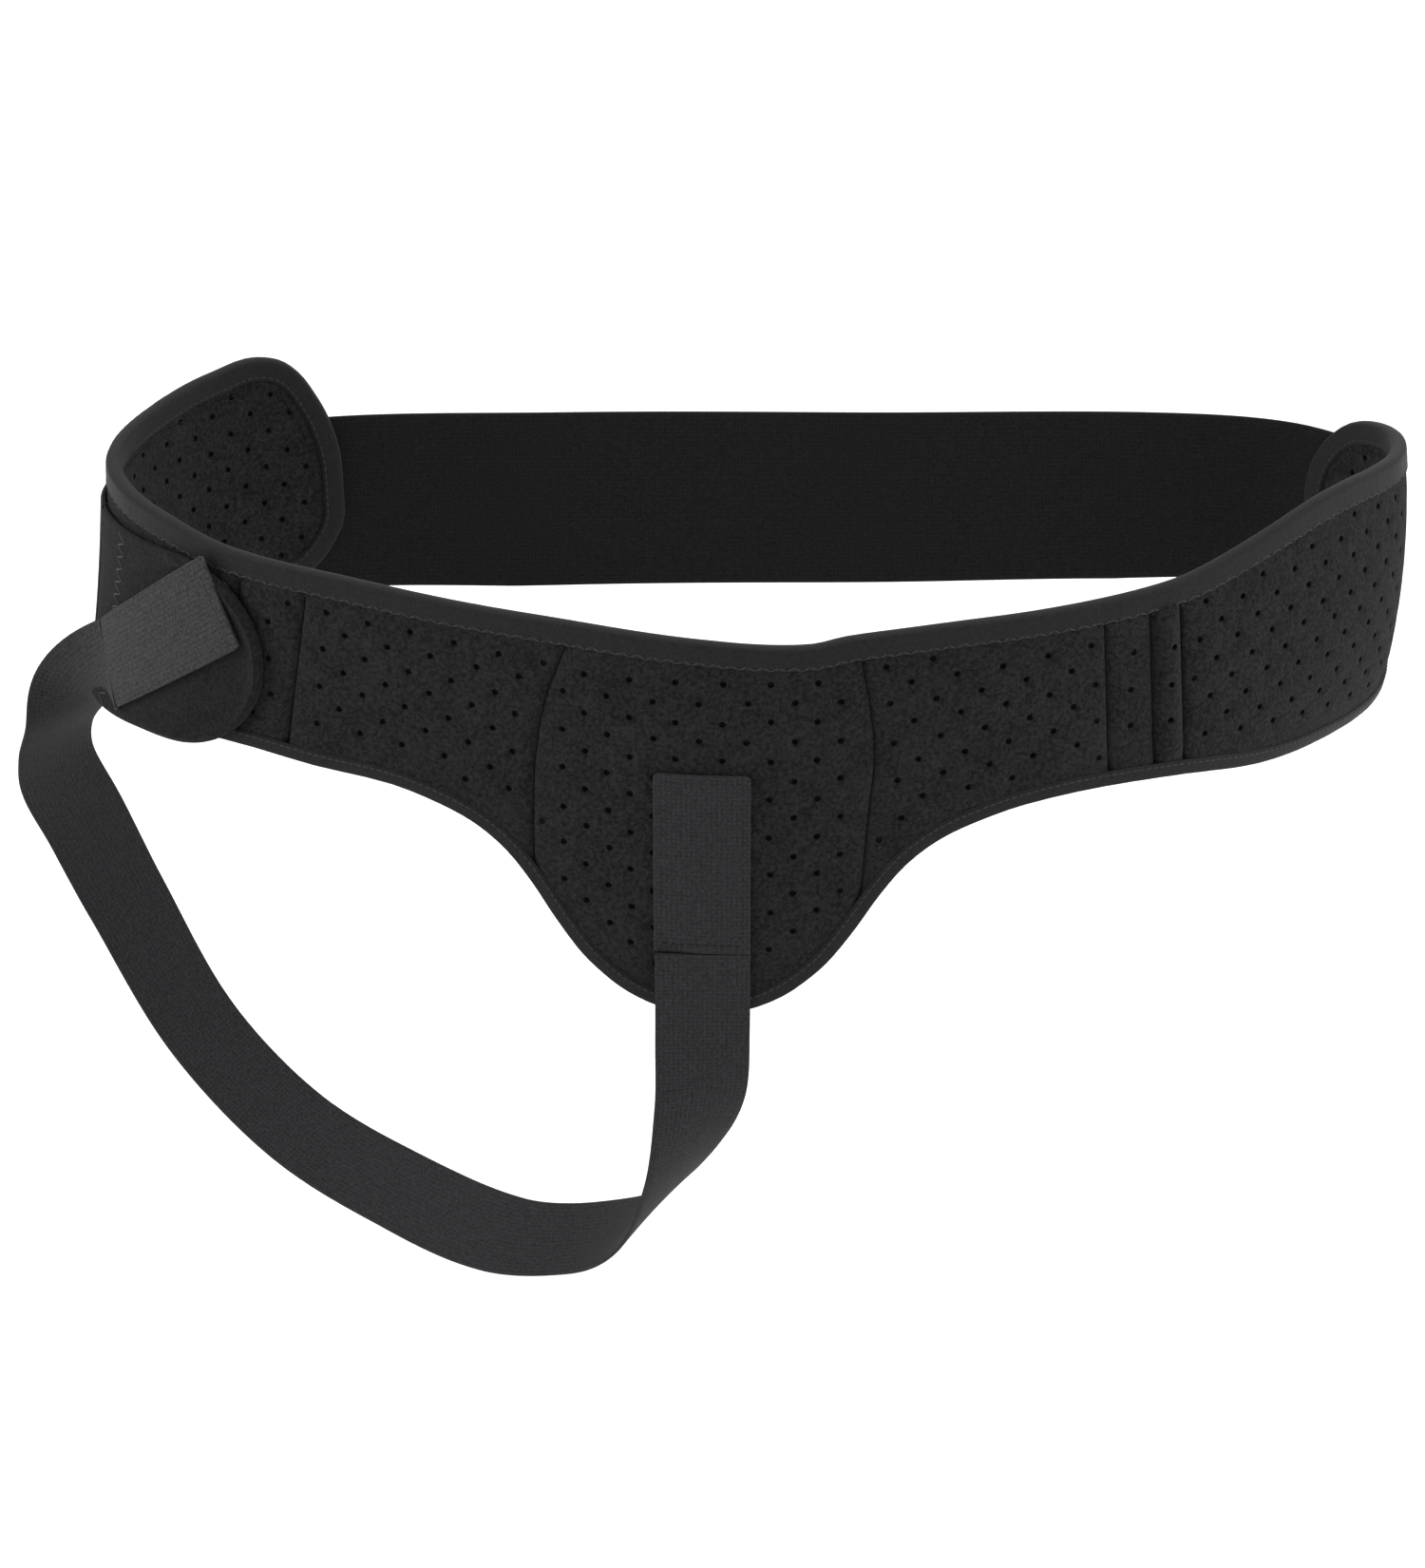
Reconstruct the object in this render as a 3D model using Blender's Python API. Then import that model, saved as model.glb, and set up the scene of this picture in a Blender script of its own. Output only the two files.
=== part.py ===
"""Groin support belt: padded front, elastic back band, closure tab, one leg strap and two pads.

+X is towards the right wing, -Y is the front, +Z is up.  The origin is the middle of the wearer's hips.
Everything that lies round the hips is cut flat, with s along the girth from the front centre
(positive towards +X) and z up, and is then wrapped onto the hip curve.  "out" is the distance
outwards from the front panels' outer face.
"""
import math

import bmesh
import bpy
import numpy as np
from mathutils import Vector

MM = 0.001
GAP = 0.3 * MM                 # space between pieces that touch

# The girth, seen from above, through these points in millimetres, anticlockwise from the front centre.
HIP_POINTS = (
    (0, -113), (60, -110), (120, -98), (180, -75), (232, -36), (265, 10), (268, 58), (237, 98),
    (180, 111), (60, 112), (-60, 112), (-145, 108), (-196, 86), (-221, 50), (-227, 12), (-213, -24),
    (-180, -54), (-120, -78), (-60, -98),
)
GIRTH_STRIPS = 150             # the curved wall is made of this many flat strips
CURVE_STEPS = 24               # samples between two points of the hip curve

# Thicknesses.
NEOPRENE = 4.0 * MM
BINDING = 0.8 * MM
HOOK = 0.7 * MM
ELASTIC = 2.0 * MM
WEBBING = 1.6 * MM

# Levels of the layers outside the front panels.
HOOK_LEVEL = 0.4 * MM
BAND_LEVEL = HOOK_LEVEL + HOOK + GAP
REAR_HOOK_LEVEL = BAND_LEVEL + ELASTIC + GAP
REAR_TAB_LEVEL = REAR_HOOK_LEVEL + HOOK + GAP
FOLD_HEIGHT = 2.4 * MM         # how far the right insert's fold stands out
FOLD_BOTTOM = -28.5 * MM       # the raised part stops short of the bindings
FOLD_TOP = 23.5 * MM
CREST_REACH = 1.0 * MM         # the fold's crest is the points this near its middle line

TOP_BINDING_WIDTH = 10.0 * MM
BOTTOM_BINDING_WIDTH = 6.0 * MM
BINDING_JOINT = 1.2 * MM        # space where one binding meets the other
STRAP_WIDTH = 35.0 * MM
BAND_HALF_HEIGHT = 37.5 * MM   # a 75 mm elastic

# Front cut, flat, in millimetres (s, z): the top edge from the left wing's tip to the right wing's.
TOP_EDGE = (
    (-412, 7), (-411, 23), (-407, 37), (-402, 47), (-396, 56), (-388, 62), (-376, 64), (-361, 61),
    (-328, 55.5), (-290, 52.5), (-245, 50), (-214, 47.5), (-184, 42.5), (-140, 38), (-95, 34),
    (-50, 31.5), (0, 28.5), (22, 26.8), (40, 26.6), (52, 29), (70, 30.7), (95, 32.4), (120, 33.4),
    (140, 34.6), (165, 36.8), (184, 39.5), (214, 47.5), (245, 54), (275, 55), (342, 50), (365, 47.5),
    (380, 43), (391, 34), (398, 22), (400, 7),
)
# The bottom edge from the right wing's tip back to the left wing's.
BOTTOM_EDGE = (
    (397, -9), (389, -22), (375, -33), (345, -43), (299, -47), (254, -45), (220, -42), (184, -37),
    (150, -36), (119, -39), (100, -44), (86, -50), (74, -59), (64, -71), (56, -83), (47, -95),
    (40, -102), (29, -110), (15, -115.5), (0, -117), (-15, -115.5), (-29, -110), (-40, -102),
    (-47, -95), (-56, -83), (-64, -71), (-74, -59), (-86, -50), (-100, -44), (-119, -39),
    (-150, -36), (-187, -31), (-230, -31), (-290, -35), (-340, -37), (-375, -34), (-398, -26),
    (-411, -9),
)
EDGE_STEPS = 3                 # samples between two points of an edge

# Seams of the front, each from its top to its bottom, in millimetres (s, z).
LEFT_CENTRE_SEAM = ((-48, 40), (-65, -80))
CENTRE_SEAM = ((57, 40), (61, -80))
LEFT_INSERT_SEAM = ((-147, 60), (-166, -60))
INSERT_SEAM = ((146, 60), (154, -60))
FOLD_SEAM = ((164, 60), (173, -60))
WING_SEAM = ((176, 60), (186, -60))
LEFT_WING_SEAM = ((-176, 60), (-186, -60))
SEAM_GAP = 0.4 * MM

# Closure: the elastic runs from the right wing, round the back, to the zigzag seam.
BAND_START = 356 * MM
ZIGZAG = -266 * MM
TAB_END = -168 * MM
TAB_TOP = 38 * MM
TAB_BOTTOM = -35 * MM
TAB_ARC_STEPS = 16
CLOSURE_HOOK = (-255, -182, -21, 31)      # s from, s to, z from, z to, in millimetres

# Leg strap.
FRONT_TAB_TOP = -21 * MM
FRONT_CREASE = -92 * MM
REAR_ROOT = Vector((-236, -17)) * MM      # where the rear tab leaves the strap, (s, z)
REAR_TIP = Vector((-183, 25)) * MM
STRAP_HOOK_INSET = 2.5 * MM               # the hook patches stay this far inside the tabs
STRAP_STEPS = 4                           # samples between two points of the strap
STRAP_OPENING = 45                        # the sample interval left open between the two strap solids
# Middle of the webbing (x, y, z) in millimetres, and the direction across it.
STRAP_ROUTE = (
    ((0, -115.2, -92.4), (1, 0, 0)),
    ((0, -115.6, -125), (1, 0, 0)),
    ((-1, -112.5, -155), (1, 0.1, 0)),
    ((-8, -101, -189), (0.8, 0.6, -0.05)),
    ((-22, -79, -222), (0.45, 0.85, 0.2)),
    ((-46, -55, -244), (0.15, 0.9, 0.4)),
    ((-79, -34, -257), (0.2, 0.82, 0.53)),
    ((-122, 6, -260), (0.34, 0.72, 0.6)),
    ((-168, 44, -251), (0.55, 0.66, 0.5)),
    ((-207, 66, -217), (0.75, 0.58, 0.3)),
    ((-235, 67, -158), (0.87, 0.46, 0.17)),
    ((-248, 55, -117), (0.9, 0.42, 0.18)),
    ((-254, 39, -88), (0.74, 0.58, 0.34)),
    ((-252, 27, -66), (0.5, 0.75, 0.43)),
    ((-249, 14, -47), (0.1, 0.9, 0.42)),
    ((-241, 0, -31), (-0.25, 0.82, 0.52)),
)

# Removable pads, on the inside of the centre panel.
PAD_CENTRE = (36, -28)         # s and z of the right pad, in millimetres
PAD_HALF_WIDTH = 28
PAD_HALF_HEIGHT = 42
PAD_ROUNDNESS = 2.6            # 2 is an ellipse, more is squarer
PAD_POINTS = 36
PAD_DEPTH = 14.0 * MM
PAD_COVER = 1.0 * MM
FOAM_INSET = 1.5               # from the pad's edge to the foam, in millimetres
PAD_HOOK_INSET = 8.0           # how far the pad's hook patch stays inside its edge, in millimetres

# Colours, roughness and metallic value of each material.
MATERIALS = {
    "neoprene": ((0.016, 0.016, 0.017), 0.95, 0.0),
    "binding": ((0.024, 0.023, 0.025), 0.7, 0.0),
    "elastic": ((0.010, 0.010, 0.011), 0.85, 0.0),
    "webbing": ((0.032, 0.032, 0.033), 0.8, 0.0),
    "webbing_end": ((0.055, 0.055, 0.056), 0.85, 0.0),
    "hook": ((0.012, 0.012, 0.012), 0.6, 0.0),
    "foam": ((0.05, 0.05, 0.05), 1.0, 0.0),
}


def clear_scene():
    for old in list(bpy.data.objects):
        bpy.data.objects.remove(old, do_unlink=True)


def smooth_curve(points, closed, steps):
    """Samples of a smooth curve through the points, in as many dimensions as they have."""
    knots = np.array(points, dtype=float)
    if closed:
        before = np.roll(knots, 1, axis=0)
        after = np.roll(knots, -1, axis=0)
    else:
        before = np.vstack((knots[:1], knots[:-1]))
        after = np.vstack((knots[1:], knots[-1:]))
    reach = np.linalg.norm(after - knots, axis=1) + np.linalg.norm(knots - before, axis=1)
    slopes = (after - before) / reach[:, None]
    samples = []
    spans = len(knots) if closed else len(knots) - 1
    for i in range(spans):
        j = (i + 1) % len(knots)
        span = np.linalg.norm(knots[j] - knots[i])
        for step in range(steps):
            t = step / steps
            samples.append(
                (2 * t**3 - 3 * t**2 + 1) * knots[i]
                + (t**3 - 2 * t**2 + t) * span * slopes[i]
                + (3 * t**2 - 2 * t**3) * knots[j]
                + (t**3 - t**2) * span * slopes[j]
            )
    if not closed:
        samples.append(knots[-1])
    return np.array(samples)


def measure_girth():
    """The hip curve as evenly spaced stations: their points, outward normals and the girth's length."""
    dense = smooth_curve(HIP_POINTS, True, CURVE_STEPS) * MM
    dense = np.vstack((dense, dense[:1]))
    along = np.concatenate(([0.0], np.cumsum(np.linalg.norm(np.diff(dense, axis=0), axis=1))))
    girth = along[-1]
    stations = np.linspace(0.0, girth, GIRTH_STRIPS + 1)
    points = np.column_stack((np.interp(stations, along, dense[:, 0]), np.interp(stations, along, dense[:, 1])))
    tangents = np.roll(points[:-1], -1, axis=0) - np.roll(points[:-1], 1, axis=0)
    tangents /= np.linalg.norm(tangents, axis=1)[:, None]
    normals = np.column_stack((tangents[:, 1], -tangents[:, 0]))
    normals = np.vstack((normals, normals[:1]))
    return points, normals, girth


GIRTH_POINTS, GIRTH_NORMALS, GIRTH = measure_girth()
STRIP = GIRTH / GIRTH_STRIPS


def belt_point(s, z, out):
    """The place in space of a flat point (s, z) at a distance out from the panels' outer face."""
    place = (s % GIRTH) / STRIP
    first = min(int(place), GIRTH_STRIPS - 1)
    part = place - first
    middle = GIRTH_POINTS[first] * (1 - part) + GIRTH_POINTS[first + 1] * part
    normal = GIRTH_NORMALS[first] * (1 - part) + GIRTH_NORMALS[first + 1] * part
    return Vector((middle[0] + out * normal[0], middle[1] + out * normal[1], z))


def belt_direction(s, ds, dz):
    """The direction in space of a flat direction (ds, dz) at s."""
    step = STRIP / 4
    along = belt_point(s + step, 0, 0) - belt_point(s - step, 0, 0)
    return (along.normalized() * ds + Vector((0, 0, dz))).normalized()


def make_materials():
    made = {}
    for name, (colour, roughness, metallic) in MATERIALS.items():
        material = bpy.data.materials.new(name)
        material.use_nodes = True
        shader = material.node_tree.nodes["Principled BSDF"]
        shader.inputs["Base Color"].default_value = (*colour, 1.0)
        shader.inputs["Roughness"].default_value = roughness
        shader.inputs["Metallic"].default_value = metallic
        made[name] = material
    return made


def add_pivot(name, place, parent=None):
    pivot = bpy.data.objects.new(name, None)
    pivot.empty_display_size = 10 * MM
    pivot.location = place
    if parent is not None:
        pivot.parent = parent
        pivot.location = place - world_place(parent)
    bpy.context.collection.objects.link(pivot)
    return pivot


def world_place(item):
    place = item.location.copy()
    while item.parent is not None:
        item = item.parent
        place += item.location
    return place


def add_piece(name, bm, material, pivot=None):
    """An object from a bmesh that is in world coordinates, hung on its pivot if it moves."""
    bmesh.ops.recalc_face_normals(bm, faces=bm.faces)
    if bm.calc_volume(signed=True) < 0:
        bmesh.ops.reverse_faces(bm, faces=bm.faces)
    mesh = bpy.data.meshes.new(name)
    piece = bpy.data.objects.new(name, mesh)
    if pivot is not None:
        bmesh.ops.translate(bm, verts=bm.verts, vec=-world_place(pivot))
        piece.parent = pivot
    bm.to_mesh(mesh)
    bm.free()
    mesh.materials.append(material)
    mesh.shade_smooth()
    mesh.set_sharp_from_angle(angle=math.radians(35))
    bpy.context.collection.objects.link(piece)
    return piece


def flat_sheet(outline, inner, outer):
    """A sheet cut to a flat outline (s, z), between two levels, kept flat: x is s, y is z, z is out."""
    bm = bmesh.new()
    corners = [bm.verts.new((point[0], point[1], inner)) for point in outline]
    face = bm.faces.new(corners)
    raised = bmesh.ops.extrude_face_region(bm, geom=[face])["geom"]
    verts = [item for item in raised if isinstance(item, bmesh.types.BMVert)]
    bmesh.ops.translate(bm, verts=verts, vec=(0, 0, outer - inner))
    return bm


def trim(bm, seam, keep, clearance):
    """Cut a flat sheet along a seam line and keep its side towards keep (+1 right, -1 left)."""
    top = Vector((seam[0][0], seam[0][1], 0)) * MM
    bottom = Vector((seam[1][0], seam[1][1], 0)) * MM
    along = (bottom - top).normalized()
    across = Vector((-along.y, along.x, 0))
    if across.x < 0:
        across.negate()
    cut = bmesh.ops.bisect_plane(
        bm,
        geom=bm.verts[:] + bm.edges[:] + bm.faces[:],
        plane_co=top + across * keep * clearance,
        plane_no=across * keep,
        clear_inner=True,
    )["geom_cut"]
    edges = [item for item in cut if isinstance(item, bmesh.types.BMEdge)]
    bmesh.ops.holes_fill(bm, edges=edges)


def wrap(bm):
    """Cut a flat piece at every strip of the girth, then bend it round the hips."""
    low = min(vert.co.x for vert in bm.verts)
    high = max(vert.co.x for vert in bm.verts)
    for index in range(math.ceil(low / STRIP), math.floor(high / STRIP) + 1):
        if low + GAP < index * STRIP < high - GAP:
            bmesh.ops.bisect_plane(
                bm,
                geom=bm.verts[:] + bm.edges[:] + bm.faces[:],
                plane_co=(index * STRIP, 0, 0),
                plane_no=(1, 0, 0),
            )
    for vert in bm.verts:
        vert.co = belt_point(vert.co.x, vert.co.y, vert.co.z)
    return bm


def edge_points():
    """The top edge and the bottom edge, smoothed, as one closed outline split at the wing tips."""
    closed = smooth_curve(TOP_EDGE + BOTTOM_EDGE, True, EDGE_STEPS) * MM
    split = (len(TOP_EDGE) - 1) * EDGE_STEPS
    return closed, split


OUTLINE, RIGHT_TIP = edge_points()


def make_front(materials):
    """The neoprene panels between the seams."""
    cuts = {
        "center_panel": (LEFT_CENTRE_SEAM, CENTRE_SEAM),
        "right_wing_front": (CENTRE_SEAM, INSERT_SEAM),
        "right_wing_insert": (INSERT_SEAM, FOLD_SEAM),
        "right_wing_end": (WING_SEAM, None),
        "left_wing_front": (LEFT_INSERT_SEAM, LEFT_CENTRE_SEAM),
        "left_wing_insert": (LEFT_WING_SEAM, LEFT_INSERT_SEAM),
        "left_wing_end": (None, LEFT_WING_SEAM),
    }
    for name, (left, right) in cuts.items():
        bm = flat_sheet(OUTLINE, -NEOPRENE, 0.0)
        if left:
            trim(bm, left, 1, SEAM_GAP / 2)
        if right:
            trim(bm, right, -1, SEAM_GAP / 2)
        add_piece(name, wrap(bm), materials["neoprene"])
    fold = flat_sheet(OUTLINE, -NEOPRENE, 0.0)
    trim(fold, FOLD_SEAM, 1, SEAM_GAP / 2)
    trim(fold, WING_SEAM, -1, SEAM_GAP / 2)
    raise_fold(fold)
    add_piece("right_insert_fold", wrap(fold), materials["neoprene"])


def raise_fold(bm):
    """Lift the middle of the narrow fold between the two bindings, so that it stands out as a rib."""
    crest = [((a[0] + b[0]) / 2, a[1]) for a, b in zip(FOLD_SEAM, WING_SEAM)]
    top = Vector((crest[0][0], crest[0][1], 0)) * MM
    bottom = Vector((crest[1][0], crest[1][1], 0)) * MM
    along = (bottom - top).normalized()
    bmesh.ops.bisect_plane(
        bm,
        geom=bm.verts[:] + bm.edges[:] + bm.faces[:],
        plane_co=top,
        plane_no=(-along.y, along.x, 0),
    )
    for height in (FOLD_BOTTOM, FOLD_BOTTOM + FOLD_HEIGHT, FOLD_TOP - FOLD_HEIGHT, FOLD_TOP):
        bmesh.ops.bisect_plane(
            bm,
            geom=bm.verts[:] + bm.edges[:] + bm.faces[:],
            plane_co=(0, height, 0),
            plane_no=(0, 1, 0),
        )
    for vert in bm.verts:
        from_crest = abs((vert.co - top).cross(along).z)
        between_bindings = FOLD_BOTTOM + GAP < vert.co.y < FOLD_TOP - GAP
        if vert.co.z > -GAP and from_crest < CREST_REACH and between_bindings:
            vert.co.z += FOLD_HEIGHT


def bind_edge(path, width):
    """A folded tape, U in section, over an edge of the front; path runs clockwise seen from the front."""
    bm = bmesh.new()
    reach = GAP + BINDING
    section = (
        (width, GAP), (-GAP, GAP), (-GAP, -NEOPRENE - GAP), (width, -NEOPRENE - GAP),
        (width, -NEOPRENE - reach), (-reach, -NEOPRENE - reach), (-reach, reach), (width, reach),
    )
    rings = []
    for index, point in enumerate(path):
        before = path[max(index - 1, 0)]
        after = path[min(index + 1, len(path) - 1)]
        along = Vector(after - before).normalized()
        inward = Vector((along.y, -along.x))
        ring = []
        for inset, out in section:
            ring.append(bm.verts.new((point[0] + inward.x * inset, point[1] + inward.y * inset, out)))
        rings.append(ring)
    for ring, following in zip(rings, rings[1:]):
        for corner in range(len(section)):
            after = (corner + 1) % len(section)
            bm.faces.new((ring[corner], ring[after], following[after], following[corner]))
    bm.faces.new(rings[0])
    bm.faces.new(reversed(rings[-1]))
    return bm


def make_bindings(materials):
    tip_samples = 4 * EDGE_STEPS
    closed = np.vstack((OUTLINE, OUTLINE))
    start = len(OUTLINE) - tip_samples
    top = closed[start:start + 2 * tip_samples + RIGHT_TIP + 1]
    bottom = closed[RIGHT_TIP + tip_samples:start + 1].copy()
    for end, following in ((0, 1), (-1, -2)):
        bottom[end] += BINDING_JOINT * Vector(bottom[following] - bottom[end]).normalized()
    add_piece("top_binding", wrap(bind_edge(top, TOP_BINDING_WIDTH)), materials["binding"])
    add_piece("bottom_binding", wrap(bind_edge(bottom, BOTTOM_BINDING_WIDTH)), materials["binding"])


def rectangle(left, right, low, high):
    return ((left, low), (right, low), (right, high), (left, high))


def make_band(materials):
    """The woven elastic, from the right wing's outside round the back to the zigzag seam."""
    end = GIRTH + ZIGZAG - GAP
    outline = rectangle(BAND_START, end, -BAND_HALF_HEIGHT, BAND_HALF_HEIGHT)
    bm = flat_sheet(outline, BAND_LEVEL, BAND_LEVEL + ELASTIC)
    add_piece("rear_elastic_band", wrap(bm), materials["elastic"])


def tab_outline():
    """The closure tab: straight at the zigzag seam, rounded at its free end."""
    middle = (TAB_TOP + TAB_BOTTOM) / 2
    radius = (TAB_TOP - TAB_BOTTOM) / 2
    points = [(ZIGZAG, TAB_TOP), (ZIGZAG, TAB_BOTTOM)]
    centre = TAB_END - radius
    for step in range(TAB_ARC_STEPS + 1):
        angle = math.radians(-90 + 180 * step / TAB_ARC_STEPS)
        points.append((centre + radius * math.cos(angle), middle + radius * math.sin(angle)))
    return points


def make_closure(materials):
    pivot = add_pivot("closure_pivot", belt_point(ZIGZAG, 0, BAND_LEVEL + ELASTIC))
    tab = flat_sheet(tab_outline(), BAND_LEVEL, BAND_LEVEL + ELASTIC)
    add_piece("closure_tab", wrap(tab), materials["elastic"], pivot)
    left, right, low, high = (value * MM for value in CLOSURE_HOOK)
    hook = flat_sheet(rectangle(left, right, low, high), HOOK_LEVEL, HOOK_LEVEL + HOOK)
    add_piece("closure_hook_patch", wrap(hook), materials["hook"], pivot)
    return pivot


def strap_end_outline(root, tip, inset):
    """A strap end's rectangle from its root to its tip, drawn in by inset all round."""
    along = (tip - root).normalized()
    side = Vector((-along.y, along.x)) * (STRAP_WIDTH / 2 - inset)
    near = root + along * inset
    far = tip - along * inset
    return (near - side, far - side, far + side, near + side)


def make_front_end(materials):
    """The strap's front hook tab, which peels off the centre panel from its top."""
    root = Vector((0, FRONT_CREASE))
    tip = Vector((0, FRONT_TAB_TOP))
    pivot = add_pivot("front_tab_pivot", belt_point(0, FRONT_CREASE, BAND_LEVEL + WEBBING))
    tab = flat_sheet(strap_end_outline(root, tip, 0), BAND_LEVEL, BAND_LEVEL + WEBBING)
    add_piece("front_strap_tab", wrap(tab), materials["webbing"], pivot)
    hook = flat_sheet(strap_end_outline(root, tip, STRAP_HOOK_INSET), HOOK_LEVEL, HOOK_LEVEL + HOOK)
    add_piece("front_hook_patch", wrap(hook), materials["hook"], pivot)


def make_rear_end(materials, closure):
    """The strap's rear hook tab, which peels off the closure tab."""
    place = belt_point(REAR_ROOT.x, REAR_ROOT.y, REAR_TAB_LEVEL + WEBBING)
    pivot = add_pivot("rear_tab_pivot", place, closure)
    tab = flat_sheet(strap_end_outline(REAR_ROOT, REAR_TIP, 0), REAR_TAB_LEVEL, REAR_TAB_LEVEL + WEBBING)
    add_piece("rear_strap_tab", wrap(tab), materials["webbing_end"], pivot)
    hook = flat_sheet(strap_end_outline(REAR_ROOT, REAR_TIP, STRAP_HOOK_INSET), REAR_HOOK_LEVEL, REAR_HOOK_LEVEL + HOOK)
    add_piece("rear_hook_patch", wrap(hook), materials["hook"], pivot)


def strap_samples():
    """Middle and across direction of the leg strap, from the front crease to the rear tab's root."""
    along = (REAR_TIP - REAR_ROOT).normalized()
    end = REAR_ROOT - along * 2 * GAP
    place = belt_point(end.x, end.y, REAR_TAB_LEVEL + WEBBING / 2) / MM
    across = belt_direction(REAR_ROOT.x, -along.y, along.x)
    route = list(STRAP_ROUTE) + [(tuple(place), tuple(across))]
    # The across direction is scaled up so that it counts as much as the place in the smoothing.
    weight = STRAP_WIDTH / MM
    rows = [(*place, *(value * weight for value in across)) for place, across in route]
    samples = smooth_curve(rows, False, STRAP_STEPS)
    middles = samples[:, :3] * MM
    tangents = np.gradient(middles, axis=0)
    tangents[0] = (0, 0, -1)
    tangents[-1] = belt_direction(REAR_ROOT.x, along.x, along.y)
    tangents /= np.linalg.norm(tangents, axis=1)[:, None]
    acrosses = samples[:, 3:]
    acrosses -= np.sum(acrosses * tangents, axis=1)[:, None] * tangents
    acrosses /= np.linalg.norm(acrosses, axis=1)[:, None]
    return middles, tangents, acrosses


def ribbon(middles, tangents, acrosses):
    """A flat strap of webbing along its samples."""
    bm = bmesh.new()
    rings = []
    for middle, tangent, across in zip(middles, tangents, acrosses):
        up = np.cross(tangent, across) * WEBBING / 2
        side = across * STRAP_WIDTH / 2
        corners = (middle - side - up, middle + side - up, middle + side + up, middle - side + up)
        rings.append([bm.verts.new(corner) for corner in corners])
    for ring, following in zip(rings, rings[1:]):
        bmesh.ops.contextual_create(bm, geom=[ring[0], ring[1], following[1], following[0]])
        bmesh.ops.contextual_create(bm, geom=[ring[1], ring[2], following[2], following[1]])
        bmesh.ops.contextual_create(bm, geom=[ring[2], ring[3], following[3], following[2]])
        bmesh.ops.contextual_create(bm, geom=[ring[3], ring[0], following[0], following[3]])
    bm.faces.new(rings[0])
    bm.faces.new(reversed(rings[-1]))
    bmesh.ops.triangulate(bm, faces=bm.faces)
    return bm


def make_leg_strap(materials, closure):
    """The loop round the thigh, in two solids with a short opening between them."""
    middles, tangents, acrosses = strap_samples()
    lower = slice(0, STRAP_OPENING)
    upper = slice(STRAP_OPENING + 1, None)
    front = ribbon(middles[lower], tangents[lower], acrosses[lower])
    add_piece("leg_strap", front, materials["webbing"])
    rear = ribbon(middles[upper], tangents[upper], acrosses[upper])
    add_piece("leg_strap_upper", rear, materials["webbing"], closure)


def pad_outline(side, inset):
    """A pad's rounded outline, side +1 for the right pad and -1 for the left."""
    points = []
    for index in range(PAD_POINTS):
        angle = 2 * math.pi * index / PAD_POINTS
        cosine = math.cos(angle)
        sine = math.sin(angle)
        wide = (PAD_HALF_WIDTH - inset) * math.copysign(abs(cosine) ** (2 / PAD_ROUNDNESS), cosine)
        high = (PAD_HALF_HEIGHT - inset) * math.copysign(abs(sine) ** (2 / PAD_ROUNDNESS), sine)
        points.append(((side * PAD_CENTRE[0] + wide) * MM, (PAD_CENTRE[1] + high) * MM))
    return points


def make_pad(name, side, materials):
    """A pad: a cover open towards the panel, a foam core in it and a hook patch on its back."""
    back = -NEOPRENE - HOOK_LEVEL - HOOK - GAP
    front = back - PAD_DEPTH
    pivot = add_pivot(name + "_pivot", belt_point(side * PAD_CENTRE[0] * MM, PAD_CENTRE[1] * MM, back))
    cover = flat_sheet(pad_outline(side, 0), front, back)
    mouth = [face for face in cover.faces if face.calc_center_median().z > back - GAP]
    bmesh.ops.inset_region(cover, faces=mouth, thickness=PAD_COVER, use_even_offset=True)
    floor = bmesh.ops.extrude_face_region(cover, geom=mouth)["geom"]
    verts = [item for item in floor if isinstance(item, bmesh.types.BMVert)]
    bmesh.ops.delete(cover, geom=mouth, context="FACES_ONLY")
    bmesh.ops.translate(cover, verts=verts, vec=(0, 0, PAD_COVER - PAD_DEPTH))
    add_piece(name + "_cover", wrap(cover), materials["elastic"], pivot)
    core = flat_sheet(pad_outline(side, FOAM_INSET), front + PAD_COVER + GAP, back)
    add_piece(name + "_foam", wrap(core), materials["foam"], pivot)
    hook = flat_sheet(pad_outline(side, PAD_HOOK_INSET), back + GAP, back + GAP + HOOK)
    add_piece(name + "_hook_patch", wrap(hook), materials["hook"], pivot)


def main():
    clear_scene()
    materials = make_materials()
    make_front(materials)
    make_bindings(materials)
    make_band(materials)
    closure = make_closure(materials)
    make_front_end(materials)
    make_rear_end(materials, closure)
    make_leg_strap(materials, closure)
    make_pad("left_pad", -1, materials)
    make_pad("right_pad", 1, materials)


main()
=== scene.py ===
import math

import bmesh
import bpy
import numpy as np
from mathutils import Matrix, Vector, geometry


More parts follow.
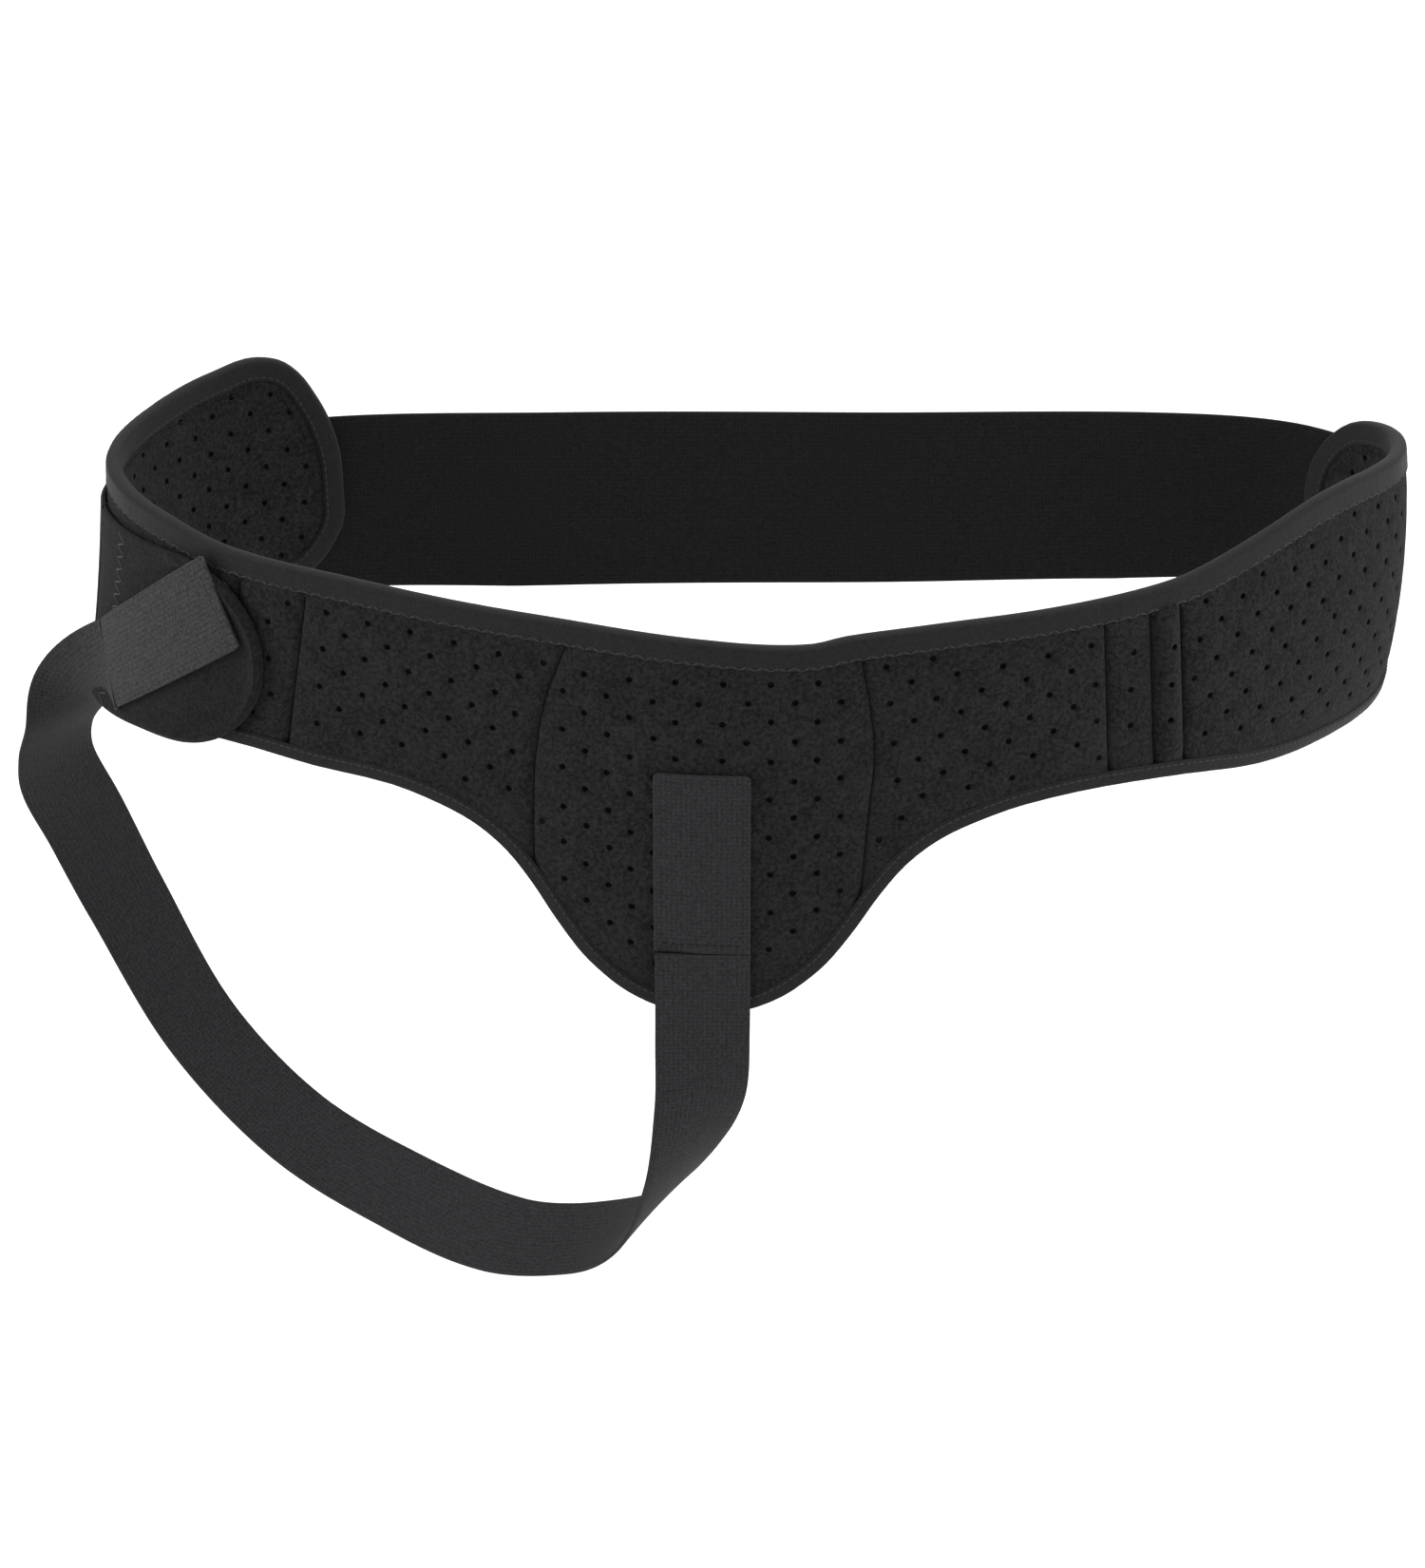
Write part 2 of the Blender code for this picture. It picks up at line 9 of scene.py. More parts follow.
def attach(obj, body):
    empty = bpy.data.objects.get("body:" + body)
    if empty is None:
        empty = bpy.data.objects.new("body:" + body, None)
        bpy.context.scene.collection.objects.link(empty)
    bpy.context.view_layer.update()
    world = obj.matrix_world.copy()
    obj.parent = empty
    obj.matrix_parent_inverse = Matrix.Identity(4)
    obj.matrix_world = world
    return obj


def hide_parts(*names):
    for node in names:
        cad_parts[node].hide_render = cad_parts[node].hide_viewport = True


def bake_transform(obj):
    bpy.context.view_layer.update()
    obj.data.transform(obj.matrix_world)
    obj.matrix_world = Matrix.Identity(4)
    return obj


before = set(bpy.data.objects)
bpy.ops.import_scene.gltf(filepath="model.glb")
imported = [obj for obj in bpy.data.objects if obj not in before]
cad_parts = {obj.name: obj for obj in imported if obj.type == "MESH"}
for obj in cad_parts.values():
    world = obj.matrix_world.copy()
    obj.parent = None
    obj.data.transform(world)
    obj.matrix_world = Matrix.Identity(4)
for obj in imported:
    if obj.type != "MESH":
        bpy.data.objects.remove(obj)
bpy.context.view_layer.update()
print("frame loaded")

mm = 0.001

# the girth seen from above in mm, anticlockwise from the front centre, the same curve as the CAD's
hips = {
    "points": (
        (0, -113), (60, -110), (120, -98), (180, -75), (232, -36), (265, 10), (268, 58), (237, 98),
        (180, 111), (60, 112), (-60, 112), (-145, 108), (-196, 86), (-221, 50), (-227, 12), (-213, -24),
        (-180, -54), (-120, -78), (-60, -98),
    ),
    "steps": 40,
}

# the front's cut, flat: s along the girth and z up, in mm
front = {
    "top": (
        (-412, 7), (-411, 23), (-407, 37), (-402, 47), (-396, 56), (-388, 62), (-376, 64), (-361, 61),
        (-328, 55.5), (-290, 52.5), (-245, 50), (-214, 47.5), (-184, 42.5), (-140, 38), (-95, 34),
        (-50, 31.5), (0, 28.5), (22, 26.8), (40, 26.6), (52, 29), (70, 30.7), (95, 32.4), (120, 33.4),
        (140, 34.6), (165, 36.8), (184, 39.5), (214, 47.5), (245, 54), (275, 55), (342, 50), (365, 47.5),
        (380, 43), (391, 34), (398, 22), (400, 7),
    ),
    "bottom": (
        (397, -9), (389, -22), (375, -33), (345, -43), (299, -47), (254, -45), (220, -42), (184, -37),
        (150, -36), (119, -39), (100, -44), (86, -50), (74, -59), (64, -71), (56, -83), (47, -95),
        (40, -102), (29, -110), (15, -115.5), (0, -117), (-15, -115.5), (-29, -110), (-40, -102),
        (-47, -95), (-56, -83), (-64, -71), (-74, -59), (-86, -50), (-100, -44), (-119, -39),
        (-150, -36), (-187, -31), (-230, -31), (-290, -35), (-340, -37), (-375, -34), (-398, -26),
        (-411, -9),
    ),
    "thick": 4 * mm,
    "seamGap": -0.1 * mm,     # the panels are sewn edge to edge
    "seamDip": 2.5 * mm,      # how far the padding is pulled in at a seam
    "seamReach": 5.2 * mm,
    "puff": 0.7 * mm,         # how far the middle of a panel stands out
    "puffReach": 16 * mm,
    "grid": 2.6 * mm,         # spacing of the panel's own points
}

# seams from top to bottom, flat, in mm
leftCentreSeam = (
    (-46, 40), (-49.5, 26), (-52.4, 19), (-57.2, 6.7), (-61, -7.6), (-63.5, -26), (-64.2, -48), (-64.2, -80),
)
centreSeam = ((55.5, 40), (57.4, 21), (60.1, 6.7), (62.2, -8), (62.4, -22), (60.5, -40), (59, -60), (58, -80))
leftInsertSeam = ((-146.6, 60), (-165.8, -60))
insertSeam = ((146, 60), (154, -60))
foldSeam = ((164, 60), (173, -60))
wingSeam = ((176, 60), (186, -60))
leftWingSeam = ((-176, 60), (-186, -60))

# the punched holes: a staggered lattice
holes = {
    "across": 17.0 * mm, "down": 15.0 * mm, "radius": 1.3 * mm, "sides": 10,
    "dimple": 0.5 * mm,       # how far the cloth is drawn in round a hole
    "dimpleReach": 1.6 * mm,
    "margin": 2.6 * mm,       # from a hole to its panel's edge
    "clearOfTape": 10.5 * mm,
    "scatter": 0.25 * mm,
    "lining": (0.42, 0.58),   # the lining's two faces, as shares of the panel's thickness
}

# heights above the front's outer face
layers = {"hook": 0.4 * mm, "band": 1.4 * mm, "rearHook": 3.7 * mm, "rearTab": 4.7 * mm, "elastic": 2.0 * mm}


# curves and the wrap round the hips

def rise(x):
    x = np.clip(x, 0, 1)
    return x * x * (3 - 2 * x)


def shoulder(x):
    # a quarter round: steep at the seam, level where it meets the face
    x = np.clip(x, 0, 1)
    return np.sqrt(np.maximum(1 - (1 - x) ** 2, 0.0))


def smoothCurve(points, closed, steps):
    knots = np.array(points, dtype=float)
    if closed:
        before, after = np.roll(knots, 1, axis=0), np.roll(knots, -1, axis=0)
    else:
        before, after = np.vstack((knots[:1], knots[:-1])), np.vstack((knots[1:], knots[-1:]))
    reach = np.linalg.norm(after - knots, axis=1) + np.linalg.norm(knots - before, axis=1)
    slopes = (after - before) / reach[:, None]
    samples = []
    for i in range(len(knots) if closed else len(knots) - 1):
        j = (i + 1) % len(knots)
        span = np.linalg.norm(knots[j] - knots[i])
        for step in range(steps):
            t = step / steps
            samples.append(
                (2 * t**3 - 3 * t**2 + 1) * knots[i] + (t**3 - 2 * t**2 + t) * span * slopes[i]
                + (3 * t**2 - 2 * t**3) * knots[j] + (t**3 - t**2) * span * slopes[j]
            )
    if not closed:
        samples.append(knots[-1])
    return np.array(samples)


def resample(line, spacing, closed=False):
    if closed:
        line = np.vstack((line, line[:1]))
    along = np.concatenate(([0.0], np.cumsum(np.linalg.norm(np.diff(line, axis=0), axis=1))))
    count = max(int(round(along[-1] / spacing)), 2)
    places = np.linspace(0.0, along[-1], count + 1)
    spaced = np.column_stack([np.interp(places, along, line[:, k]) for k in range(line.shape[1])])
    return spaced[:-1] if closed else spaced


def measureHips():
    dense = smoothCurve(hips["points"], True, hips["steps"]) * mm
    dense = resample(dense, 2 * mm, closed=True)
    dense = np.vstack((dense, dense[:1]))
    along = np.concatenate(([0.0], np.cumsum(np.linalg.norm(np.diff(dense, axis=0), axis=1))))
    tangents = np.roll(dense[:-1], -2, axis=0) - np.roll(dense[:-1], 2, axis=0)
    tangents /= np.linalg.norm(tangents, axis=1)[:, None]
    normals = np.column_stack((tangents[:, 1], -tangents[:, 0]))
    return dense, np.vstack((normals, normals[:1])), along


hipLine, hipNormals, hipAlong = measureHips()
girth = hipAlong[-1]


# the loop stands out at its lower left, where the leg strap pulls, and bellies out on its right
sag = {"leftAt": -250 * mm, "leftWide": 90 * mm, "rightAt": 285 * mm, "rightWide": 95 * mm}


def sagOut(s, z):
    signed = (s + girth / 2) % girth - girth / 2
    left = rise(1 - np.abs(signed - sag["leftAt"]) / sag["leftWide"])
    right = rise(1 - np.abs(signed - sag["rightAt"]) / sag["rightWide"])
    leftOut = 1.8 * mm - 0.14 * z + 1.0 * z * z
    rightOut = 1.8 * mm - 2.4 * (z - 12 * mm) ** 2
    return left * leftOut + right * rightOut


def onBody(flat):
    flat = np.asarray(flat, dtype=float).reshape(-1, 3)
    s = flat[:, 0] % girth
    place = np.column_stack([np.interp(s, hipAlong, hipLine[:, k]) for k in (0, 1)])
    normal = np.column_stack([np.interp(s, hipAlong, hipNormals[:, k]) for k in (0, 1)])
    normal /= np.linalg.norm(normal, axis=1)[:, None]
    out = flat[:, 2] + sagOut(flat[:, 0], flat[:, 1])
    return np.column_stack((place + normal * out[:, None], flat[:, 1]))


def direction(s, ds, dz):
    step = 2 * mm
    ends = onBody([(s - step, 0, 0), (s + step, 0, 0)])
    along = (ends[1] - ends[0]) / np.linalg.norm(ends[1] - ends[0])
    turned = along * ds + np.array((0, 0, dz))
    return turned / np.linalg.norm(turned)


# materials

def linear(code):
    values = [int(code[k:k + 2], 16) / 255 for k in (1, 3, 5)]
    return tuple(v / 12.92 if v <= 0.04045 else ((v + 0.055) / 1.055) ** 2.4 for v in values) + (1.0,)


def addNode(tree, kind, values=None, links=None, **settings):
    made = tree.nodes.new(kind)
    for name, value in settings.items():
        setattr(made, name, value)
    for name, value in (values or {}).items():
        made.inputs[name].default_value = value
    for name, socket in (links or {}).items():
        tree.links.new(socket, made.inputs[name])
    return made


def startMaterial(name, roughness, specular, sheen=0.0, sheenRoughness=0.5):
    material = bpy.data.materials.new(name)
    material.use_nodes = True
    tree = material.node_tree
    shader = tree.nodes["Principled BSDF"]
    shader.inputs["Roughness"].default_value = roughness
    shader.inputs["Specular IOR Level"].default_value = specular
    shader.inputs["Sheen Weight"].default_value = sheen
    shader.inputs["Sheen Roughness"].default_value = sheenRoughness
    return material, tree, shader


def noise(tree, place, size, detail, roughness=0.5):
    values = {"Scale": 1 / size, "Detail": detail, "Roughness": roughness}
    return addNode(tree, "ShaderNodeTexNoise", values, {"Vector": place}).outputs["Fac"]


def cellPattern(tree, place, size):
    return addNode(tree, "ShaderNodeTexVoronoi", {"Scale": 1 / size}, {"Vector": place}).outputs["Distance"]


def addBump(tree, shader, height, strength, distance):
    bump = addNode(tree, "ShaderNodeBump", {"Strength": strength, "Distance": distance}, {"Height": height})
    tree.links.new(bump.outputs["Normal"], shader.inputs["Normal"])
    return bump


def threads(tree, place, size, distortion, way):
    # a wave texture's period is 2 pi / 20 at scale 1, so a thread and its gap take twice the size in mm
    scale = math.pi / (size * 20 * mm)
    values = {"Scale": scale, "Distortion": distortion, "Detail": 1.0, "Detail Scale": 4.0}
    return addNode(tree, "ShaderNodeTexWave", values, {"Vector": place}, bands_direction=way).outputs["Fac"]


def colourSpread(tree, factor, dark, light, low=0.35, high=0.65):
    ramp = addNode(tree, "ShaderNodeValToRGB", links={"Fac": factor})
    ramp.color_ramp.elements[0].position = low
    ramp.color_ramp.elements[0].color = linear(dark)
    ramp.color_ramp.elements[1].position = high
    ramp.color_ramp.elements[1].color = linear(light)
    return ramp.outputs["Color"]


# brushed polyester loop cloth laminated on neoprene: matt, a little woolly, mottled fibre by fibre
def loopCloth(name, dark, light, pile=0.8):
    material, tree, shader = startMaterial(name, 0.95, 0.05, 0.02, 0.6)
    place = addNode(tree, "ShaderNodeTexCoord").outputs["Object"]
    fibre = noise(tree, place, 1.9 * pile * mm, 4.0, 0.7)
    patch = noise(tree, place, 14 * mm, 2.0)
    mixed = addNode(tree, "ShaderNodeMath", {1: 0.15}, {0: patch, 2: fibre}, operation="MULTIPLY_ADD")
    tree.links.new(colourSpread(tree, mixed.outputs[0], dark, light, 0.44, 0.72), shader.inputs["Base Color"])
    addBump(tree, shader, fibre, 0.9, 0.6 * mm)
    return material


# woven narrow fabric: fine ribs along it, crossed by weft threads, read from the piece's own UV in metres; it
# can be painted lighter past a mark along it, a painted highlight where more light falls
def wovenTape(name, dark, light, ribs, weft, strength, roughness=0.85, sheen=0.01, paintedLightFade=None):
    material, tree, shader = startMaterial(name, roughness, 0.06, sheen)
    coords = addNode(tree, "ShaderNodeTexCoord")
    along = threads(tree, coords.outputs["UV"], ribs, 0.6, "Y")
    across = threads(tree, coords.outputs["UV"], weft, 0.8, "X")
    weave = addNode(tree, "ShaderNodeMath", links={0: along, 1: across}, operation="MULTIPLY").outputs[0]
    fuzz = noise(tree, coords.outputs["Object"], 1.1 * mm, 3.0, 0.6)
    mixed = addNode(tree, "ShaderNodeMath", {1: 0.2}, {0: weave, 2: fuzz}, operation="MULTIPLY_ADD")
    mixed = mixed.outputs[0]
    colour = colourSpread(tree, mixed, dark, light, 0.38, 0.78)
    # painted highlight: past a mark along the UV the colour blends to a lighter copy of the weave
    if paintedLightFade:
        start, end, paintedLitDark, paintedLitLight = paintedLightFade
        place = addNode(tree, "ShaderNodeSeparateXYZ", links={"Vector": coords.outputs["UV"]})
        ends = {"From Min": start, "From Max": end}
        share = addNode(tree, "ShaderNodeMapRange", ends, {"Value": place.outputs["X"]})
        mix = addNode(tree, "ShaderNodeMix", data_type="RGBA")
        tree.links.new(share.outputs["Result"], mix.inputs["Factor"])
        tree.links.new(colour, mix.inputs[6])
        tree.links.new(colourSpread(tree, mixed, paintedLitDark, paintedLitLight, 0.38, 0.78), mix.inputs[7])
        colour = mix.outputs[2]
    tree.links.new(colour, shader.inputs["Base Color"])
    addBump(tree, shader, mixed, strength, 0.3 * mm)
    return material


# knitted fold-over binding: smoother than the loop cloth, with a faint satin face
def foldBinding():
    material, tree, shader = startMaterial("knitted binding", 0.7, 0.12, 0.04, 0.45)
    place = addNode(tree, "ShaderNodeTexCoord").outputs["Object"]
    knit = noise(tree, place, 0.9 * mm, 3.0, 0.55)
    tree.links.new(colourSpread(tree, knit, "#0f0f10", "#19191a"), shader.inputs["Base Color"])
    addBump(tree, shader, knit, 0.35, 0.25 * mm)
    return material


# spun polyester sewing thread, a little glossy, twisted
def sewingThread(name, dark, light):
    material, tree, shader = startMaterial(name, 0.6, 0.12)
    place = addNode(tree, "ShaderNodeTexCoord").outputs["Object"]
    twist = noise(tree, place, 0.4 * mm, 2.0)
    tree.links.new(colourSpread(tree, twist, dark, light), shader.inputs["Base Color"])
    return material


# moulded nylon hook tape: stiff, a little shiny, with the hooks as a fine grid of bumps
def hookTape():
    material, tree, shader = startMaterial("nylon hook tape", 0.5, 0.45)
    place = addNode(tree, "ShaderNodeTexCoord").outputs["Object"]
    hooks = cellPattern(tree, place, 1.4 * mm)
    tree.links.new(colourSpread(tree, hooks, "#2a2a2b", "#121213", 0.1, 0.6), shader.inputs["Base Color"])
    addBump(tree, shader, hooks, 0.8, 0.5 * mm).invert = True
    return material


# closed-cell pad foam: dull and slightly porous
def padFoam():
    material, tree, shader = startMaterial("closed-cell foam", 0.95, 0.2)
    place = addNode(tree, "ShaderNodeTexCoord").outputs["Object"]
    cells = cellPattern(tree, place, 0.9 * mm)
    tree.links.new(colourSpread(tree, cells, "#3c3c3e", "#4a4a4c", 0.1, 0.7), shader.inputs["Base Color"])
    addBump(tree, shader, cells, 0.4, 0.3 * mm)
    return material


finishes = {
    "neoprene": loopCloth("perforated loop neoprene", "#0d0d0e", "#222223"),
    "closureCloth": loopCloth("brushed closure cloth", "#0f0f10", "#1f1f20", 0.7),
    "padCloth": loopCloth("knitted pad cover", "#111112", "#212122", 0.6),
    "binding": foldBinding(),
    "elastic": wovenTape("plain woven elastic", "#0e0e0f", "#19191a", 0.9, 0.7, 0.15, 0.8, 0.03),
    # from 0.61 to 0.665 m along the strap, the webbing blends to a lighter copy: a painted highlight on its
    # last part
    "webbing": wovenTape("soft woven webbing", "#1b1b1c", "#2b2b2d", 0.9, 0.8, 0.14, 0.8, 0.02,
                         (0.61, 0.665, "#232324", "#39393a")),
    # a lighter copy of the webbing: a painted highlight for the rear tab, where more light falls
    "webbingPaintedLit": wovenTape("soft webbing, painted lighter", "#232324", "#39393a", 0.9, 0.8, 0.14, 0.85, 0.03),
    "thread": sewingThread("black sewing thread", "#070708", "#151516"),
    "paleThread": sewingThread("grey sewing thread", "#1c1b1d", "#333134"),
    "hook": hookTape(),
    "foam": padFoam(),
}
print("materials made")


# mesh helpers

def makePiece(name, points, faces, finish, uv=None):
    mesh = bpy.data.meshes.new(name)
    mesh.from_pydata([tuple(p) for p in points], [], faces)
    piece = bpy.data.objects.new(name, mesh)
    bpy.context.collection.objects.link(piece)
    mesh.materials.append(finishes[finish])
    if uv is not None:
        layer = mesh.uv_layers.new(name="flat")
        index = np.zeros(len(mesh.loops), dtype=np.int32)
        mesh.loops.foreach_get("vertex_index", index)
        layer.data.foreach_set("uv", np.asarray(uv, dtype=np.float32)[index].ravel())
    bm = bmesh.new()
    bm.from_mesh(mesh)
    bmesh.ops.recalc_face_normals(bm, faces=bm.faces)
    if bm.calc_volume(signed=True) < 0:
        bmesh.ops.reverse_faces(bm, faces=bm.faces)
    bm.to_mesh(mesh)
    bm.free()
    mesh.shade_smooth()
    mesh.set_sharp_from_angle(angle=math.radians(50))
    return piece


# a closed tube through the rings, with a flat cap at each end
def tube(rings):
    count, size = len(rings), len(rings[0])
    faces = []
    for i in range(count - 1):
        j = i + 1
        for k in range(size):
            m = (k + 1) % size
            faces.append((i * size + k, i * size + m, j * size + m, j * size + k))
    faces.append(tuple(range(size)))
    faces.append(tuple(range((count - 1) * size, count * size))[::-1])
    return np.vstack(rings), faces


# the part of an outline on one side of a seam's chord: 1 keeps what is to its right, -1 to its left
def clip(outline, seam, side):
    (s0, z0), (s1, z1) = np.array(seam[0]) * mm, np.array(seam[-1]) * mm
    across = np.array((z0 - z1, s1 - s0))
    across /= np.linalg.norm(across)
    gauge = ((outline - (s0, z0)) @ across) * side - front["seamGap"] / 2
    kept = []
    for i in range(len(outline)):
        j = (i + 1) % len(outline)
        if gauge[i] >= 0:
            kept.append(outline[i])
        if (gauge[i] >= 0) != (gauge[j] >= 0):
            part = gauge[i] / (gauge[i] - gauge[j])
            kept.append(outline[i] * (1 - part) + outline[j] * part)
    return np.array(kept)


# a cut made straight along a curved seam's chord, moved onto the curve
def bendSeam(outline, seam):
    line = np.array(seam) * mm
    chord = np.column_stack((np.interp(outline[:, 1], line[[-1, 0], 1], line[[-1, 0], 0]), outline[:, 1]))
    curve = np.interp(outline[:, 1], line[::-1, 1], line[::-1, 0])
    near = np.abs(outline[:, 0] - chord[:, 0]) < 0.6 * mm
    outline[near, 0] += (curve - chord[:, 0])[near]
    return outline


# how far each point is from a line of straight runs, closed unless it is said otherwise
def distanceTo(points, line, closed=True):
    ends = np.roll(line, -1, axis=0) if closed else line[1:]
    starts = line if closed else line[:-1]
    runs = ends - starts
    best = np.full(len(points), 1.0)
    for start, run in zip(starts, runs):
        share = np.clip(((points - start) @ run) / max(run @ run, 1e-12), 0, 1)
        best = np.minimum(best, np.linalg.norm(points - start - share[:, None] * run, axis=1))
    return best


def inside(points, outline):
    x, y = points[:, 0], points[:, 1]
    result = np.zeros(len(points), dtype=bool)
    for a, b in zip(outline, np.roll(outline, -1, axis=0)):
        crosses = (a[1] > y) != (b[1] > y)
        with np.errstate(divide="ignore", invalid="ignore"):
            result ^= crosses & (x < (b[0] - a[0]) * (y - a[1]) / (b[1] - a[1]) + a[0])
    return result


def latticeHoles(outline, turn, shift=(0.0, 0.0)):
    low, high = outline.min(axis=0), outline.max(axis=0)
    middle = (low + high) / 2
    reach = int(np.linalg.norm(high - low) / holes["down"]) + 2
    cosine, sine = math.cos(turn), math.sin(turn)
    found = []
    for row in range(-2 * reach, 2 * reach + 1):
        for column in range(-reach, reach + 1):
            x = (column + 0.5 * (row % 2)) * holes["across"] + shift[0]
            y = row * holes["down"] / 2 + shift[1]
            found.append((middle[0] + x * cosine - y * sine, middle[1] + x * sine + y * cosine))
    found = np.array(found)
    rng = np.random.default_rng(7)
    found += rng.normal(0, holes["scatter"], found.shape)
    found = found[inside(found, outline)]
    return found[distanceTo(found, outline) > holes["margin"] + holes["radius"]]


# a flat piece of cloth with real thickness and punched holes, wrapped on the body: level is its back's
# height, dip and reach say how far its face is drawn in near the edge, and shape adds to the face
def flatPiece(name, outline, level, thick, finish, punched=(), grid=2.6 * mm, dip=0.5 * mm, reach=1.2 * mm,
              puff=0.0, shape=None, uvTurn=0.0):
    edge = resample(outline, grid * 0.9, closed=True)
    low, high = edge.min(axis=0), edge.max(axis=0)
    xs, ys = np.arange(low[0], high[0], grid), np.arange(low[1], high[1], grid * 0.866)
    inner = np.array([(x + (k % 2) * grid / 2, y) for k, y in enumerate(ys) for x in xs])
    inner = inner[inside(inner, edge)]
    gap = distanceTo(inner, edge)
    inner = inner[gap > reach + 0.5 * grid]
    tangents = np.roll(edge, -1, axis=0) - np.roll(edge, 1, axis=0)
    tangents /= np.linalg.norm(tangents, axis=1)[:, None]
    sideways = np.column_stack((-tangents[:, 1], tangents[:, 0]))
    rims = []
    for share in (0.1, 0.32, 0.64, 1.0):
        for sign in (1, -1):
            rim = edge + sideways * sign * reach * share
            good = inside(rim, edge)
            rim = rim[good]
            rims.append(rim[distanceTo(rim, edge) > reach * share * 0.8])
    inner = np.vstack([inner] + rims)
    sides = holes["sides"]
    angles = np.arange(sides) * 2 * math.pi / sides
    turn = np.column_stack((np.cos(angles), np.sin(angles)))
    circles, edges = [], []
    for centre in punched:
        # each hole is a loop of its own, with a second one round it to hold the mesh even
        inner = inner[np.linalg.norm(inner - centre, axis=1) > holes["radius"] + 0.9 * mm]
        first = len(edge) + len(circles) * sides
        edges += [(first + k, first + (k + 1) % sides) for k in range(sides)]
        circles += [centre + holes["radius"] * turn, centre + (holes["radius"] + 0.55 * mm) * turn]
    points = np.vstack([edge] + circles + [inner])
    result = geometry.delaunay_2d_cdt([Vector(p) for p in points], edges, [list(range(len(edge)))], 1, 1e-7)
    flat = np.array([tuple(p) for p in result[0]])
    triangles = np.array([tuple(f) for f in result[2] if len(f) == 3])
    if len(punched):
        middles = flat[triangles].mean(axis=1)
        keep = np.ones(len(triangles), dtype=bool)
        for centre in punched:
            keep &= np.linalg.norm(middles - centre, axis=1) > holes["radius"] * 0.96
        triangles = triangles[keep]
    used = np.unique(triangles)
    order = np.full(len(flat), -1)
    order[used] = np.arange(len(used))
    flat, triangles = flat[used], order[triangles]
    # the padding is pulled in at its edge and at each hole, and stands out in between
    toEdge = distanceTo(flat, edge)
    face = level + thick - dip * (1 - shoulder(toEdge / reach)) + puff * rise(toEdge / front["puffReach"])
    back = level + 0.4 * dip * (1 - shoulder(toEdge / reach))
    if len(punched):
        toHole = np.full(len(flat), 1.0)
        for centre in punched:
            toHole = np.minimum(toHole, np.linalg.norm(flat - centre, axis=1))
        pulled = 1 - rise((toHole - holes["radius"]) / holes["dimpleReach"])
        face -= holes["dimple"] * pulled
        back += 0.5 * holes["dimple"] * pulled
    if shape is not None:
        face = face + shape(flat)
    count = len(flat)
    solid = np.vstack((np.column_stack((flat, face)), np.column_stack((flat, back))))
    faces = [tuple(t) for t in triangles] + [tuple(t[::-1] + count) for t in triangles]
    rimEdges = {}
    for a, b, c in triangles:
        for edgePair in ((a, b), (b, c), (c, a)):
            key = (min(edgePair), max(edgePair))
            rimEdges[key] = None if key in rimEdges else edgePair
    for pair in rimEdges.values():
        if pair is not None:
            a, b = pair
            faces.append((b, a, a + count, b + count))
    # the lining between the two faces closes each hole half way through
    uvExtra = []
    for centre in punched:
        base = len(solid)
        disc = centre + (holes["radius"] + 0.3 * mm) * turn
        for depth in holes["lining"]:
            solid = np.vstack((solid, np.column_stack((disc, np.full(sides, level + thick * depth)))))
            uvExtra.append(disc)
        faces.append(tuple(range(base, base + sides))[::-1])
        faces.append(tuple(range(base + sides, base + 2 * sides)))
        for k in range(sides):
            after = (k + 1) % sides
            faces.append((base + k, base + after, base + sides + after, base + sides + k))
    cosine, sine = math.cos(uvTurn), math.sin(uvTurn)
    uv = np.column_stack((flat[:, 0] * cosine + flat[:, 1] * sine, flat[:, 1] * cosine - flat[:, 0] * sine))
    return makePiece(name, onBody(solid), faces, finish, np.vstack([uv, uv] + uvExtra))


# stitches

stitchSize = {"length": 2.3 * mm, "radius": 0.36 * mm, "segments": 6, "rings": 4}
closeRow, openRow = 2.8 * mm, 3.0 * mm      # a stitch with its gap


def stitchShape():
    bpy.ops.object.select_all(action="DESELECT")
    segments, rings = stitchSize["segments"], stitchSize["rings"]
    bpy.ops.mesh.primitive_uv_sphere_add(segments=segments, ring_count=rings, radius=1.0)
    ball = bpy.context.object
    points = np.array([tuple(v.co) for v in ball.data.vertices])
    faces = [tuple(p.vertices) for p in ball.data.polygons]
    bpy.data.objects.remove(ball, do_unlink=True)
    return points[:, [2, 0, 1]], faces      # the sphere's poles lie along the stitch


stitchPoints, stitchFaces = stitchShape()


def stitchMesh(places):
    allPoints, allFaces = [], []
    for middle, along, out, length, radius in places:
        along, out = along / np.linalg.norm(along), out / np.linalg.norm(out)
        across = np.cross(out, along)
        base = len(allPoints) * len(stitchPoints)
        shaped = (stitchPoints[:, 0:1] * along * length / 2 + stitchPoints[:, 1:2] * across * radius
                  + stitchPoints[:, 2:3] * out * radius * 0.8)
        allPoints.append(middle + shaped)
        allFaces += [tuple(base + k for k in face) for face in stitchFaces]
    return np.vstack(allPoints), allFaces


